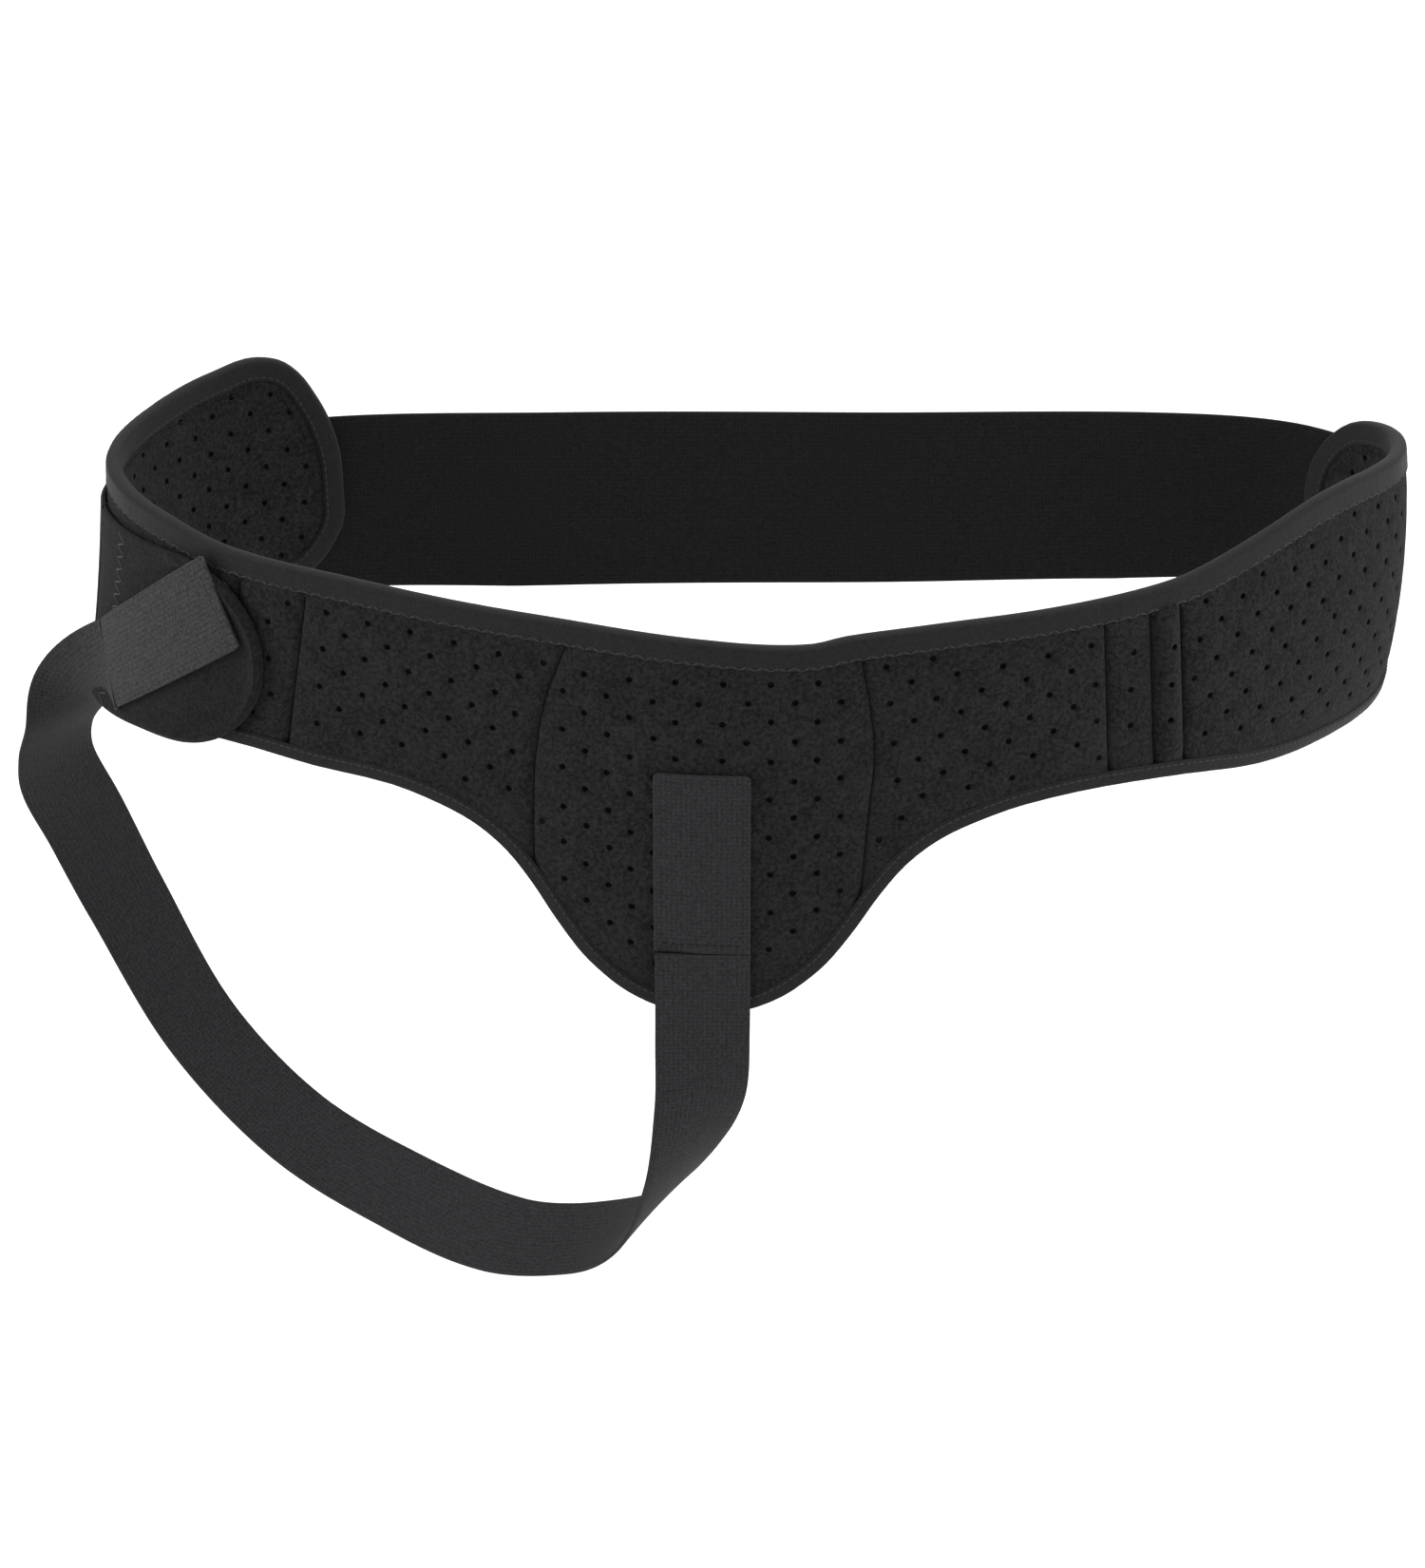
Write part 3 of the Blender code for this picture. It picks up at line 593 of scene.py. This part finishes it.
# a row of stitches along a flat line, at a height above the front's face
def stitchesOnBody(line, level, spacing, length=None, radius=None, zigzag=0.0):
    length, radius = length or stitchSize["length"], radius or stitchSize["radius"]
    spots = resample(np.asarray(line, dtype=float), spacing)
    places = []
    for index in range(len(spots) - 1):
        a, b = spots[index].copy(), spots[index + 1].copy()
        run = (b - a) / np.linalg.norm(b - a)
        if zigzag:
            side = np.array((-run[1], run[0])) * zigzag
            a, b = (a + side, b - side) if index % 2 else (a - side, b + side)
        ends = onBody([(a[0], a[1], level), (b[0], b[1], level)])
        lifted = onBody([((a[0] + b[0]) / 2, (a[1] + b[1]) / 2, level + mm)])[0]
        middle = ends.mean(axis=0)
        size = np.linalg.norm(ends[1] - ends[0]) * 1.02 if zigzag else length
        places.append((middle, ends[1] - ends[0], lifted - middle, size, radius))
    return places


def addStitches(name, places, body, finish="thread"):
    points, faces = stitchMesh(places)
    piece = makePiece(name, points, faces, finish)
    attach(piece, body)


# the front

outline = smoothCurve(front["top"] + front["bottom"], True, 3) * mm
rightTip = (len(front["top"]) - 1) * 3


def makePanel(name, node, left, right, turn, shift=(0.0, 0.0), shape=None):
    cut = outline.copy()
    if left:
        cut = clip(cut, left, 1)
    if right:
        cut = clip(cut, right, -1)
    cut = resample(cut, 2.4 * mm, closed=True)
    for seam in (left, right):
        if seam and len(seam) > 2:
            cut = bendSeam(cut, seam)
    punched = latticeHoles(cut, turn, shift)
    punched = punched[distanceTo(punched, outline) > holes["clearOfTape"]]
    piece = flatPiece(name, cut, -front["thick"], front["thick"], "neoprene", punched, front["grid"],
                      front["seamDip"], front["seamReach"], front["puff"], shape)
    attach(piece, "belt")
    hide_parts(node)


def foldShape(flat):
    top, bottom = np.array(foldSeam) * mm, np.array(wingSeam) * mm
    left = np.interp(flat[:, 1], top[::-1, 1], top[::-1, 0])
    right = np.interp(flat[:, 1], bottom[::-1, 1], bottom[::-1, 0])
    share = np.clip((flat[:, 0] - left) / (right - left), 0, 1)
    ends = rise((34 * mm - flat[:, 1]) / (5 * mm)) * rise((flat[:, 1] + 31 * mm) / (5 * mm))
    return 2.8 * mm * np.sin(math.pi * share) ** 0.7 * ends


tilt = math.radians(-6)
makePanel("centerPanel", "center_panel", leftCentreSeam, centreSeam, 0.0, (0.0, 4 * mm))
makePanel("rightWingFront", "right_wing_front", centreSeam, insertSeam, -tilt)
makePanel("rightInsert", "right_wing_insert", insertSeam, foldSeam, 0.0)
makePanel("rightInsertFold", "right_insert_fold", foldSeam, wingSeam, 0.0, shape=foldShape)
makePanel("rightWingEnd", "right_wing_end", wingSeam, None, tilt)
makePanel("leftWingFront", "left_wing_front", leftInsertSeam, leftCentreSeam, tilt)
makePanel("leftInsert", "left_wing_insert", leftWingSeam, leftInsertSeam, 0.0)
makePanel("leftWingEnd", "left_wing_end", None, leftWingSeam, -tilt)
print("panels made")


# bindings

bindings = {"top": 7.6 * mm, "bottom": 5 * mm, "swell": 0.95 * mm, "lip": 0.2 * mm, "step": 1.6 * mm}


def bindingSection(width):
    thick, swell, lip = front["thick"], bindings["swell"], bindings["lip"]
    edge, curb, half = width - 0.3 * mm, width - 1.4 * mm, width * 0.5
    outer = [(width, lip), (edge, 0.75 * swell), (curb, swell), (half, swell * 1.08), (1.2 * mm, swell)]
    radius = thick / 2 + swell
    for step in range(9):
        angle = math.radians(90 - 22.5 * step)
        outer.append((-0.1 * mm - math.cos(angle) * radius * 0.42, -thick / 2 + math.sin(angle) * radius))
    outer += [(1.2 * mm, -thick - swell), (half, -thick - swell * 1.08), (curb, -thick - swell),
              (edge, -thick - 0.75 * swell), (width, -thick - lip)]
    innerSide = [(half, -thick - lip), (0.4 * mm, -thick - lip), (-0.3 * mm, -thick / 2), (0.4 * mm, lip),
                 (half, lip)]
    return np.array(outer + innerSide)


def bindEdge(name, node, path, width):
    path = resample(path, bindings["step"])
    section = bindingSection(width)
    tangents = np.gradient(path, axis=0)
    tangents /= np.linalg.norm(tangents, axis=1)[:, None]
    inward = np.column_stack((tangents[:, 1], -tangents[:, 0]))
    rings = []
    for index, (point, side) in enumerate(zip(path, inward)):
        pucker = 1 + 0.06 * math.sin(index * 2.1) + 0.04 * math.sin(index * 0.53)
        level = section[:, 1].copy()
        level[level > 0] *= pucker
        rings.append(np.column_stack((point + section[:, 0:1] * side, level)))
    points, faces = tube(rings)
    piece = makePiece(name, onBody(points), faces, "binding")
    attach(piece, "belt")
    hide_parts(node)
    return path, inward


wrapSamples = 12
twice = np.vstack((outline, outline))
startAt = len(outline) - wrapSamples
topPath = twice[startAt:startAt + 2 * wrapSamples + rightTip + 1]
bottomPath = twice[rightTip + wrapSamples:startAt + 1]
topLine, topInward = bindEdge("topBinding", "top_binding", topPath, bindings["top"])
bottomLine, bottomInward = bindEdge("bottomBinding", "bottom_binding", bottomPath, bindings["bottom"])
print("bindings made")

backFace = -front["thick"]


def besideTop(distance):
    return topLine + topInward * distance


# overlocked stitches where each binding meets the cloth, outside and inside
bottomRow = bottomLine + bottomInward * (bindings["bottom"] - 1.3 * mm)
sewing = stitchesOnBody(besideTop(bindings["top"] - 0.9 * mm), 0.85 * mm, closeRow, zigzag=0.7 * mm,
                        radius=0.4 * mm)
sewing += stitchesOnBody(besideTop(bindings["top"] - 1.6 * mm), backFace - bindings["swell"], openRow)
sewing += stitchesOnBody(bottomRow, bindings["swell"], closeRow)
sewing += stitchesOnBody(bottomRow, backFace - bindings["swell"], closeRow)
addStitches("bindingStitches", sewing, "belt", "paleThread")
# the needle's own row, sunk into the cloth just past the binding
sewing = stitchesOnBody(besideTop(bindings["top"] + 0.8 * mm), -0.1 * mm, openRow, 2.0 * mm, 0.55 * mm)
addStitches("bindingNeedleRow", sewing, "belt", "thread")


# a second row of topstitching on the wing ends, inside
def insetLine(low, high, distance):
    there = (topLine[:, 0] > low) & (topLine[:, 0] < high)
    return besideTop(distance)[there]


sewing = stitchesOnBody(insetLine(-500 * mm, -260 * mm, 10.5 * mm), backFace - 0.1 * mm, openRow)
sewing += stitchesOnBody(insetLine(330 * mm, 500 * mm, 10.5 * mm), backFace - 0.1 * mm, openRow)
addStitches("wingTopstitch", sewing, "belt")


# elastic, closure tab

closure = {
    "end": -168 * mm, "top": 38 * mm, "bottom": -35 * mm, "bead": 1.3 * mm, "lift": 1.2 * mm,
    "liftFrom": -225 * mm,    # the edge stands up from here to the tab's round end
}
band = {
    "start": 356 * mm, "zigzag": -266 * mm, "half": 37.5 * mm, "step": 3 * mm,
    # the height of each edge, at places along the girth
    "topEdge": ((800, 35.6), (940, closure["top"] / mm)),
    "bottomEdge": ((430, -33.5), (480, -36.2), (560, -37.3), (725, -39), (940, closure["bottom"] / mm)),
}


def bandSection(half, thick):
    heights = np.linspace(-half + 0.8 * mm, half - 0.8 * mm, 30)
    face = [(z, thick) for z in heights]
    back = [(z, 0.0) for z in heights[::-1]]
    topSide = [(half, thick * 0.75), (half, thick * 0.25)]
    bottomSide = [(-half, thick * 0.25), (-half, thick * 0.75)]
    return np.array(face + topSide + back + bottomSide)


def edgeHeight(edge, s):
    places, heights = np.array(band[edge]).T * mm
    return np.interp(s, places, heights)


def makeBand():
    section = bandSection(band["half"], layers["elastic"])
    length = girth + band["zigzag"] - 0.3 * mm - band["start"]
    count = int(length / band["step"])
    rings, flat = [], []
    for index in range(count + 1):
        s = band["start"] + length * index / count
        # the edges of a stretched elastic lie in slow, shallow waves
        edgeWave = 0.5 * mm * math.sin(s * 31) * (np.abs(section[:, 0]) / band["half"]) ** 3
        top, bottom = edgeHeight("topEdge", s), edgeHeight("bottomEdge", s)
        height = (top + bottom) / 2 + section[:, 0] * (top - bottom) / 2 / band["half"]
        flat.append(np.column_stack((np.full(len(section), s), height)))
        rings.append(np.column_stack((flat[-1], layers["band"] + section[:, 1] + edgeWave)))
    points, faces = tube(rings)
    piece = makePiece("rearElastic", onBody(points), faces, "elastic", np.vstack(flat))
    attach(piece, "belt")
    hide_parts("rear_elastic_band")
    # sewn to the right wing with two rows
    rows = []
    for offset in (4 * mm, 8 * mm):
        place, reach = band["start"] + offset, band["half"] - 3 * mm
        rows += stitchesOnBody([(place, -reach), (place, reach)], layers["band"] + layers["elastic"], openRow)
    addStitches("bandStitches", rows, "belt", "thread")


makeBand()


def makeClosure():
    middle, radius = (closure["top"] + closure["bottom"]) / 2, (closure["top"] - closure["bottom"]) / 2
    corners = [(band["zigzag"], closure["top"]), (band["zigzag"], closure["bottom"])]
    for step in range(33):
        angle = math.radians(-90 + 180 * step / 32)
        reach = closure["end"] - radius + radius * math.cos(angle)
        corners.append((reach, middle + radius * math.sin(angle)))
    cut = np.array(corners)

    def bead(flat):
        # a raised edge round the tab's free end
        gap = distanceTo(flat, cut[1:], closed=False)
        ends = rise((flat[:, 0] - closure["liftFrom"]) / (20 * mm))
        roll = closure["bead"] * np.exp(-((gap - 2.6 * mm) / (1.5 * mm)) ** 2)
        return ends * (roll + closure["lift"] * rise(1 - gap / (9 * mm)))

    piece = flatPiece("closureTab", cut, layers["band"], layers["elastic"], "closureCloth", dip=1.2 * mm,
                      reach=2.2 * mm, puff=0.2 * mm, shape=bead)
    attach(piece, "closure")
    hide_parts("closure_tab")
    outer = layers["band"] + layers["elastic"]
    zig = ((-238 * mm, closure["top"] - 2 * mm), (-246 * mm, closure["bottom"] + 2 * mm))
    rows = stitchesOnBody(zig, outer + 0.2 * mm, 2.6 * mm, zigzag=2.6 * mm, radius=0.55 * mm)
    addStitches("zigzagSeam", rows, "closure", "paleThread")
    centre = np.array((closure["end"] - radius, middle))
    inset = centre + (cut[2:] - centre) * (1 - 6.5 * mm / radius)
    rows = stitchesOnBody(inset, outer + 0.1 * mm, openRow)
    addStitches("closureRimStitches", rows, "closure", "thread")


makeClosure()
print("elastic and closure made")


# leg strap and its two ends

strap = {
    "width": 35 * mm, "thick": 1.6 * mm, "step": 3 * mm, "overlap": 1.5 * mm,
    "root": (-241 * mm, -15.5 * mm), "tip": (-182.8 * mm, 25.2 * mm),
    # the tab narrows a little where the pull of the strap gathers it, and its end is cut askew
    "tabCorners": ((-231.5, -29), (-175.5, 8.5), (-190, 42), (-250.5, -1.5)),
    "frontTop": -21 * mm, "crease": -92 * mm,
    # within a few mm of the CAD's route: the middle in mm, and the direction across the webbing
    "route": (
        ((0, -115.2, -92.4), (1, 0, 0)),
        ((0, -115.6, -125), (1, 0, 0)),
        ((-1, -112.5, -155), (0.96, 0.28, 0)),
        ((-9, -101, -190), (0.68, 0.73, -0.05)),
        ((-24, -79, -225), (0.4, 0.9, 0.15)),
        ((-46, -55, -247), (0.15, 0.94, 0.31)),
        ((-79, -34, -258), (0.2, 0.87, 0.45)),
        ((-122, 6, -261), (0.34, 0.79, 0.5)),
        ((-169, 44, -251), (0.5, 0.74, 0.44)),
        ((-208, 66, -217), (0.68, 0.67, 0.3)),
        ((-236, 67, -158), (0.79, 0.58, 0.17)),
        ((-249, 55, -117), (0.81, 0.55, 0.18)),
        ((-256, 39, -88), (0.74, 0.64, 0.18)),
        ((-254, 26, -69), (0.68, 0.72, 0.05)),
        ((-247, 12, -52), (0.62, 0.74, -0.2)),
        ((-239, -3, -34), (0.54, 0.32, -0.66)),
    ),
}
tabCorners = np.array(strap["tabCorners"]) * mm
tabMiddle = tabCorners.mean(axis=0)


def webbingSection():
    half, thick = strap["width"] / 2, strap["thick"]
    across = np.linspace(-half + 0.7 * mm, half - 0.7 * mm, 14)
    face = [(x, thick / 2) for x in across]
    back = [(x, -thick / 2) for x in across[::-1]]
    shy = thick * 0.28
    return np.array(face + [(half, shy), (half, -shy)] + back + [(-half, -shy), (-half, shy)])


def makeStrap():
    root, tip = np.array(strap["root"]), np.array(strap["tip"])
    along = (tip - root) / np.linalg.norm(tip - root)
    # it ends a little inside the rear tab, turned as the tab's root is
    end = root + along * strap["overlap"]
    place = onBody([(*end, layers["rearTab"] + strap["thick"] / 2)])[0] / mm
    ends = onBody([(*corner, layers["rearTab"]) for corner in (tabCorners[3], tabCorners[0])])
    across = (ends[1] - ends[0]) / np.linalg.norm(ends[1] - ends[0])
    # the turn is weighed by the width, so that it is as smooth as the route
    rows = [(*p, *(v * 35 for v in a)) for p, a in strap["route"] + ((place, across),)]
    samples = smoothCurve(rows, False, 16)
    middles, turned = samples[:, :3] * mm, samples[:, 3:]
    run = np.concatenate(([0.0], np.cumsum(np.linalg.norm(np.diff(middles, axis=0), axis=1))))
    count = int(run[-1] / strap["step"])
    marks = np.linspace(0, run[-1], count + 1)
    middles = np.column_stack([np.interp(marks, run, middles[:, k]) for k in range(3)])
    turned = np.column_stack([np.interp(marks, run, turned[:, k]) for k in range(3)])
    tangents = np.gradient(middles, axis=0)
    tangents[0], tangents[-1] = (0, 0, -1), direction(root[0], along[0], along[1])
    tangents /= np.linalg.norm(tangents, axis=1)[:, None]
    turned -= (turned * tangents).sum(axis=1)[:, None] * tangents
    turned /= np.linalg.norm(turned, axis=1)[:, None]
    section = webbingSection()
    rings, uv = [], []
    for mark, middle, tangent, side in zip(marks, middles, tangents, turned):
        up = np.cross(tangent, side)
        rings.append(middle + section[:, 0:1] * side + section[:, 1:2] * up)
        uv.append(np.column_stack((np.full(len(section), mark), section[:, 0])))
    points, faces = tube(rings)
    piece = makePiece("legStrap", points, faces, "webbing", np.vstack(uv))
    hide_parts("leg_strap", "leg_strap_upper")
    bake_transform(piece)
    print("leg strap", round(float(run[-1]), 3), "m")


def strapEnd(name, node, cut, root, tip, level, finish, body):
    root, tip = np.array(root), np.array(tip)
    turn = math.atan2(tip[1] - root[1], tip[0] - root[0])
    piece = flatPiece(name, cut, level, strap["thick"], finish, grid=3 * mm, dip=0.4 * mm, reach=0.8 * mm,
                      uvTurn=turn)
    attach(piece, body)
    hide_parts(node)


half, crease, frontTop = strap["width"] / 2, strap["crease"], strap["frontTop"]
frontCut = np.array(((half, crease), (half, frontTop), (-half, frontTop), (-half, crease)))
makeStrap()
strapEnd("frontTab", "front_strap_tab", frontCut, (0, crease), (0, frontTop), layers["band"], "webbing",
         "front_strap_end")
# the rear tab takes the lighter copy of the webbing, a painted highlight
strapEnd("rearTab", "rear_strap_tab", tabCorners, strap["root"], strap["tip"], layers["rearTab"],
         "webbingPaintedLit", "rear_strap_end")


def frontRow(start, end, level, radius=None):
    return stitchesOnBody((start, end), level, closeRow, radius=radius)


# a cross row just above the front crease, and rows round the edges of both ends
level, fine = layers["band"] + strap["thick"], 0.25 * mm
inset, topRow = half - 2.5 * mm, frontTop - 2.5 * mm
rows = frontRow((-half + 3 * mm, crease + 3.5 * mm), (half - 3 * mm, crease + 3.5 * mm), level)
for x in (-inset, inset):
    rows += frontRow((x, crease + 4 * mm), (x, topRow), level - 0.12 * mm, fine)
rows += frontRow((-inset, topRow), (inset, topRow), level - 0.12 * mm, fine)
addStitches("frontTabStitches", rows, "front_strap_end", "thread")
level = layers["rearTab"] + strap["thick"]
insetCorners = tabMiddle + (tabCorners - tabMiddle) * (0.90, 0.87)
rows = []
for a, b in zip(insetCorners[:3], insetCorners[1:]):
    rows += stitchesOnBody((a, b), level - 0.05 * mm, closeRow, radius=0.4 * mm)
addStitches("rearTabStitches", rows, "rear_strap_end", "paleThread")
print("strap made")


# removable pads, inside the centre panel

pads = {
    "centre": (36 * mm, -28 * mm), "half": (28 * mm, 42 * mm), "round": 2.6,
    "middle": -7 * mm,        # the pad's own middle, below the face that lies on the panel
    "back": -5.4 * mm,        # that face, from the front's outer face
    "seam": -5.5 * mm,        # the sewn rim, from that face
    "cap": 4 * mm,            # the most that the cover may swell
    "voxel": 2.2 * mm, "big": 10.0, "frames": 14,
    # inset and depth of each ring, in mm
    "levels": ((5.5, 0), (1.5, 0.8), (0.4, 3.5), (0.4, 8), (2, 11), (5.5, 12.6), (12, 13.2)),
}


def padRim(side, inset, count):
    angles = np.arange(count) * 2 * math.pi / count
    power = 2 / pads["round"]
    wide = (pads["half"][0] - inset) * np.sign(np.cos(angles)) * np.abs(np.cos(angles)) ** power
    high = (pads["half"][1] - inset) * np.sign(np.sin(angles)) * np.abs(np.sin(angles)) ** power
    return np.column_stack((side * pads["centre"][0] + wide, pads["centre"][1] + high))


def swell(piece, limit):
    before = np.array([tuple(v.co) for v in piece.data.vertices])
    cloth = piece.modifiers.new("swell", "CLOTH")
    cloth.settings.use_pressure = True
    cloth.settings.uniform_pressure_force = 4.0
    cloth.settings.effector_weights.gravity = 0.0
    cloth.settings.quality = 5
    scene = bpy.context.scene
    for number in range(1, pads["frames"] + 1):
        scene.frame_set(number)
    shown = piece.evaluated_get(bpy.context.evaluated_depsgraph_get())
    after = np.array([tuple(v.co) for v in shown.data.vertices])
    piece.modifiers.remove(cloth)
    moved = after - before
    size = np.linalg.norm(moved, axis=1)
    moved *= np.minimum(1.0, limit / np.maximum(size, 1e-9))[:, None]
    scene.frame_set(1)
    return before + moved


def makePad(name, side, body):
    # worked in the flat, ten times life size so that the cloth settings suit it, then wrapped
    big, count = pads["big"], 48
    centre = np.array((side * pads["centre"][0], pads["centre"][1]))
    rings = []
    for inset, depth in pads["levels"]:
        rim = padRim(side, inset * mm, count)
        rings.append(np.column_stack((rim, np.full(count, -depth * mm))))
    points, faces = tube(rings)
    middle = np.array((*centre, pads["middle"]))
    local = (points - middle) * big
    piece = makePiece(name, local, faces, "padCloth")
    piece.modifiers.new("remesh", "REMESH").mode = "VOXEL"
    piece.modifiers["remesh"].voxel_size = pads["voxel"] * big
    bpy.ops.object.select_all(action="DESELECT")
    bpy.context.view_layer.objects.active = piece
    piece.select_set(True)
    bpy.ops.object.modifier_apply(modifier="remesh")
    flat = swell(piece, pads["cap"] * big)
    flat = flat / big + middle
    # flat where it lies on the panel, and a sewn rim round the middle of its side
    flat[:, 2] = np.minimum(flat[:, 2], 0.0)
    rim = padRim(side, 0.0, 96)
    nearRim = ~inside(flat[:, :2], rim) | (distanceTo(flat[:, :2], rim) < 3 * mm)
    pinch = np.exp(-((flat[:, 2] - pads["seam"]) / (1.3 * mm)) ** 2) * nearRim
    pull = flat[:, :2] - centre
    pull /= np.maximum(np.linalg.norm(pull, axis=1), 1e-9)[:, None]
    flat[:, :2] -= pull * (pinch * 1.2 * mm)[:, None]
    flat[:, 2] += pads["back"]
    placed = onBody(flat)
    for vertex, place in zip(piece.data.vertices, placed):
        vertex.co = place
    bm = bmesh.new()
    bm.from_mesh(piece.data)
    bmesh.ops.recalc_face_normals(bm, faces=bm.faces)
    bm.to_mesh(piece.data)
    bm.free()
    piece.modifiers.new("smooth", "SUBSURF")
    piece.modifiers["smooth"].levels = piece.modifiers["smooth"].render_levels = 1
    bpy.ops.object.modifier_apply(modifier="smooth")
    piece.data.shade_smooth()
    piece.data.materials.clear()
    piece.data.materials.append(finishes["padCloth"])
    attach(piece, body)
    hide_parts(body + "_cover")
    rim = padRim(side, -0.3 * mm, 96)
    rows = stitchesOnBody(np.vstack((rim, rim[:1])), pads["back"] + pads["seam"], closeRow)
    addStitches(name + "Stitches", rows, body, "paleThread")


makePad("leftPad", -1, "left_pad")
makePad("rightPad", 1, "right_pad")
print("pads made")


# hook tape under the closure tab and under the rear tab
def hookPatch(name, node, cut, level, body):
    piece = flatPiece(name, cut, level, 0.7 * mm, "hook", grid=3 * mm, dip=0.15 * mm, reach=0.5 * mm)
    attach(piece, body)
    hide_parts(node)


closurePatch = np.array(((-255, -21), (-182, -21), (-182, 31), (-255, 31))) * mm
rearPatch = tabMiddle + (tabCorners - tabMiddle) * 0.82
hookPatch("closureHook", "closure_hook_patch", closurePatch, layers["hook"], "closure")
hookPatch("rearHook", "rear_hook_patch", rearPatch, layers["rearHook"], "rear_strap_end")

# the front and pad patches and the foam cores keep their CAD shapes and get their real finish
keptNodes = {
    "front_hook_patch": "hook",
    "left_pad_hook_patch": "hook", "right_pad_hook_patch": "hook",
    "left_pad_foam": "foam", "right_pad_foam": "foam",
}
for node, finish in keptNodes.items():
    kept = bpy.data.objects[node]
    kept.data.materials.clear()
    kept.data.materials.append(finishes[finish])


# floor, light and camera

studio = {"floor": -0.31, "size": 12.0}


bpy.ops.object.select_all(action="DESELECT")
bpy.ops.mesh.primitive_plane_add(size=studio["size"], location=(0, 2.0, studio["floor"]))
floor = bpy.context.object
floor.name = "studioFloor"
floorFinish, _, floorShader = startMaterial("white studio floor", 0.9, 0.5)
floorShader.inputs["Base Color"].default_value = linear("#f6f6f6")
floor.data.materials.append(floorFinish)

world = bpy.data.worlds.new("studio")
bpy.context.scene.world = world
world.use_nodes = True
world.node_tree.nodes["Background"].inputs["Color"].default_value = (1, 1, 1, 1)
world.node_tree.nodes["Background"].inputs["Strength"].default_value = 0.85


def addLight(name, place, target, size, power):
    bpy.ops.object.light_add(type="AREA", location=place)
    lamp = bpy.context.object
    lamp.name = name
    lamp.data.shape = "SQUARE"
    lamp.data.size = size
    lamp.data.energy = power
    lamp.rotation_euler = (Vector(target) - Vector(place)).to_track_quat("-Z", "Y").to_euler()


addLight("rightLight", (2.1, -0.5, 0.9), (0.1, 0, 0), 1.5, 42)
addLight("leftLight", (-2.1, -0.6, 0.9), (-0.1, 0, -0.05), 1.5, 38)
addLight("topLight", (0.0, 0.1, 2.4), (0, 0, 0), 1.6, 30)

view = {"place": (0.0, -1.530, 0.618), "down": 24.41, "right": 0.15, "lens": 99.36, "sensor": 36.0}
bpy.ops.object.camera_add(location=view["place"])
camera = bpy.context.object
camera.rotation_euler = (math.radians(90 - view["down"]), 0, -math.radians(view["right"]))
camera.data.sensor_fit = "VERTICAL"
camera.data.sensor_height = view["sensor"]
camera.data.lens = view["lens"]
camera.data.clip_end = 50
bpy.context.scene.camera = camera
bpy.context.scene.view_settings.view_transform = "Standard"
print("studio made")
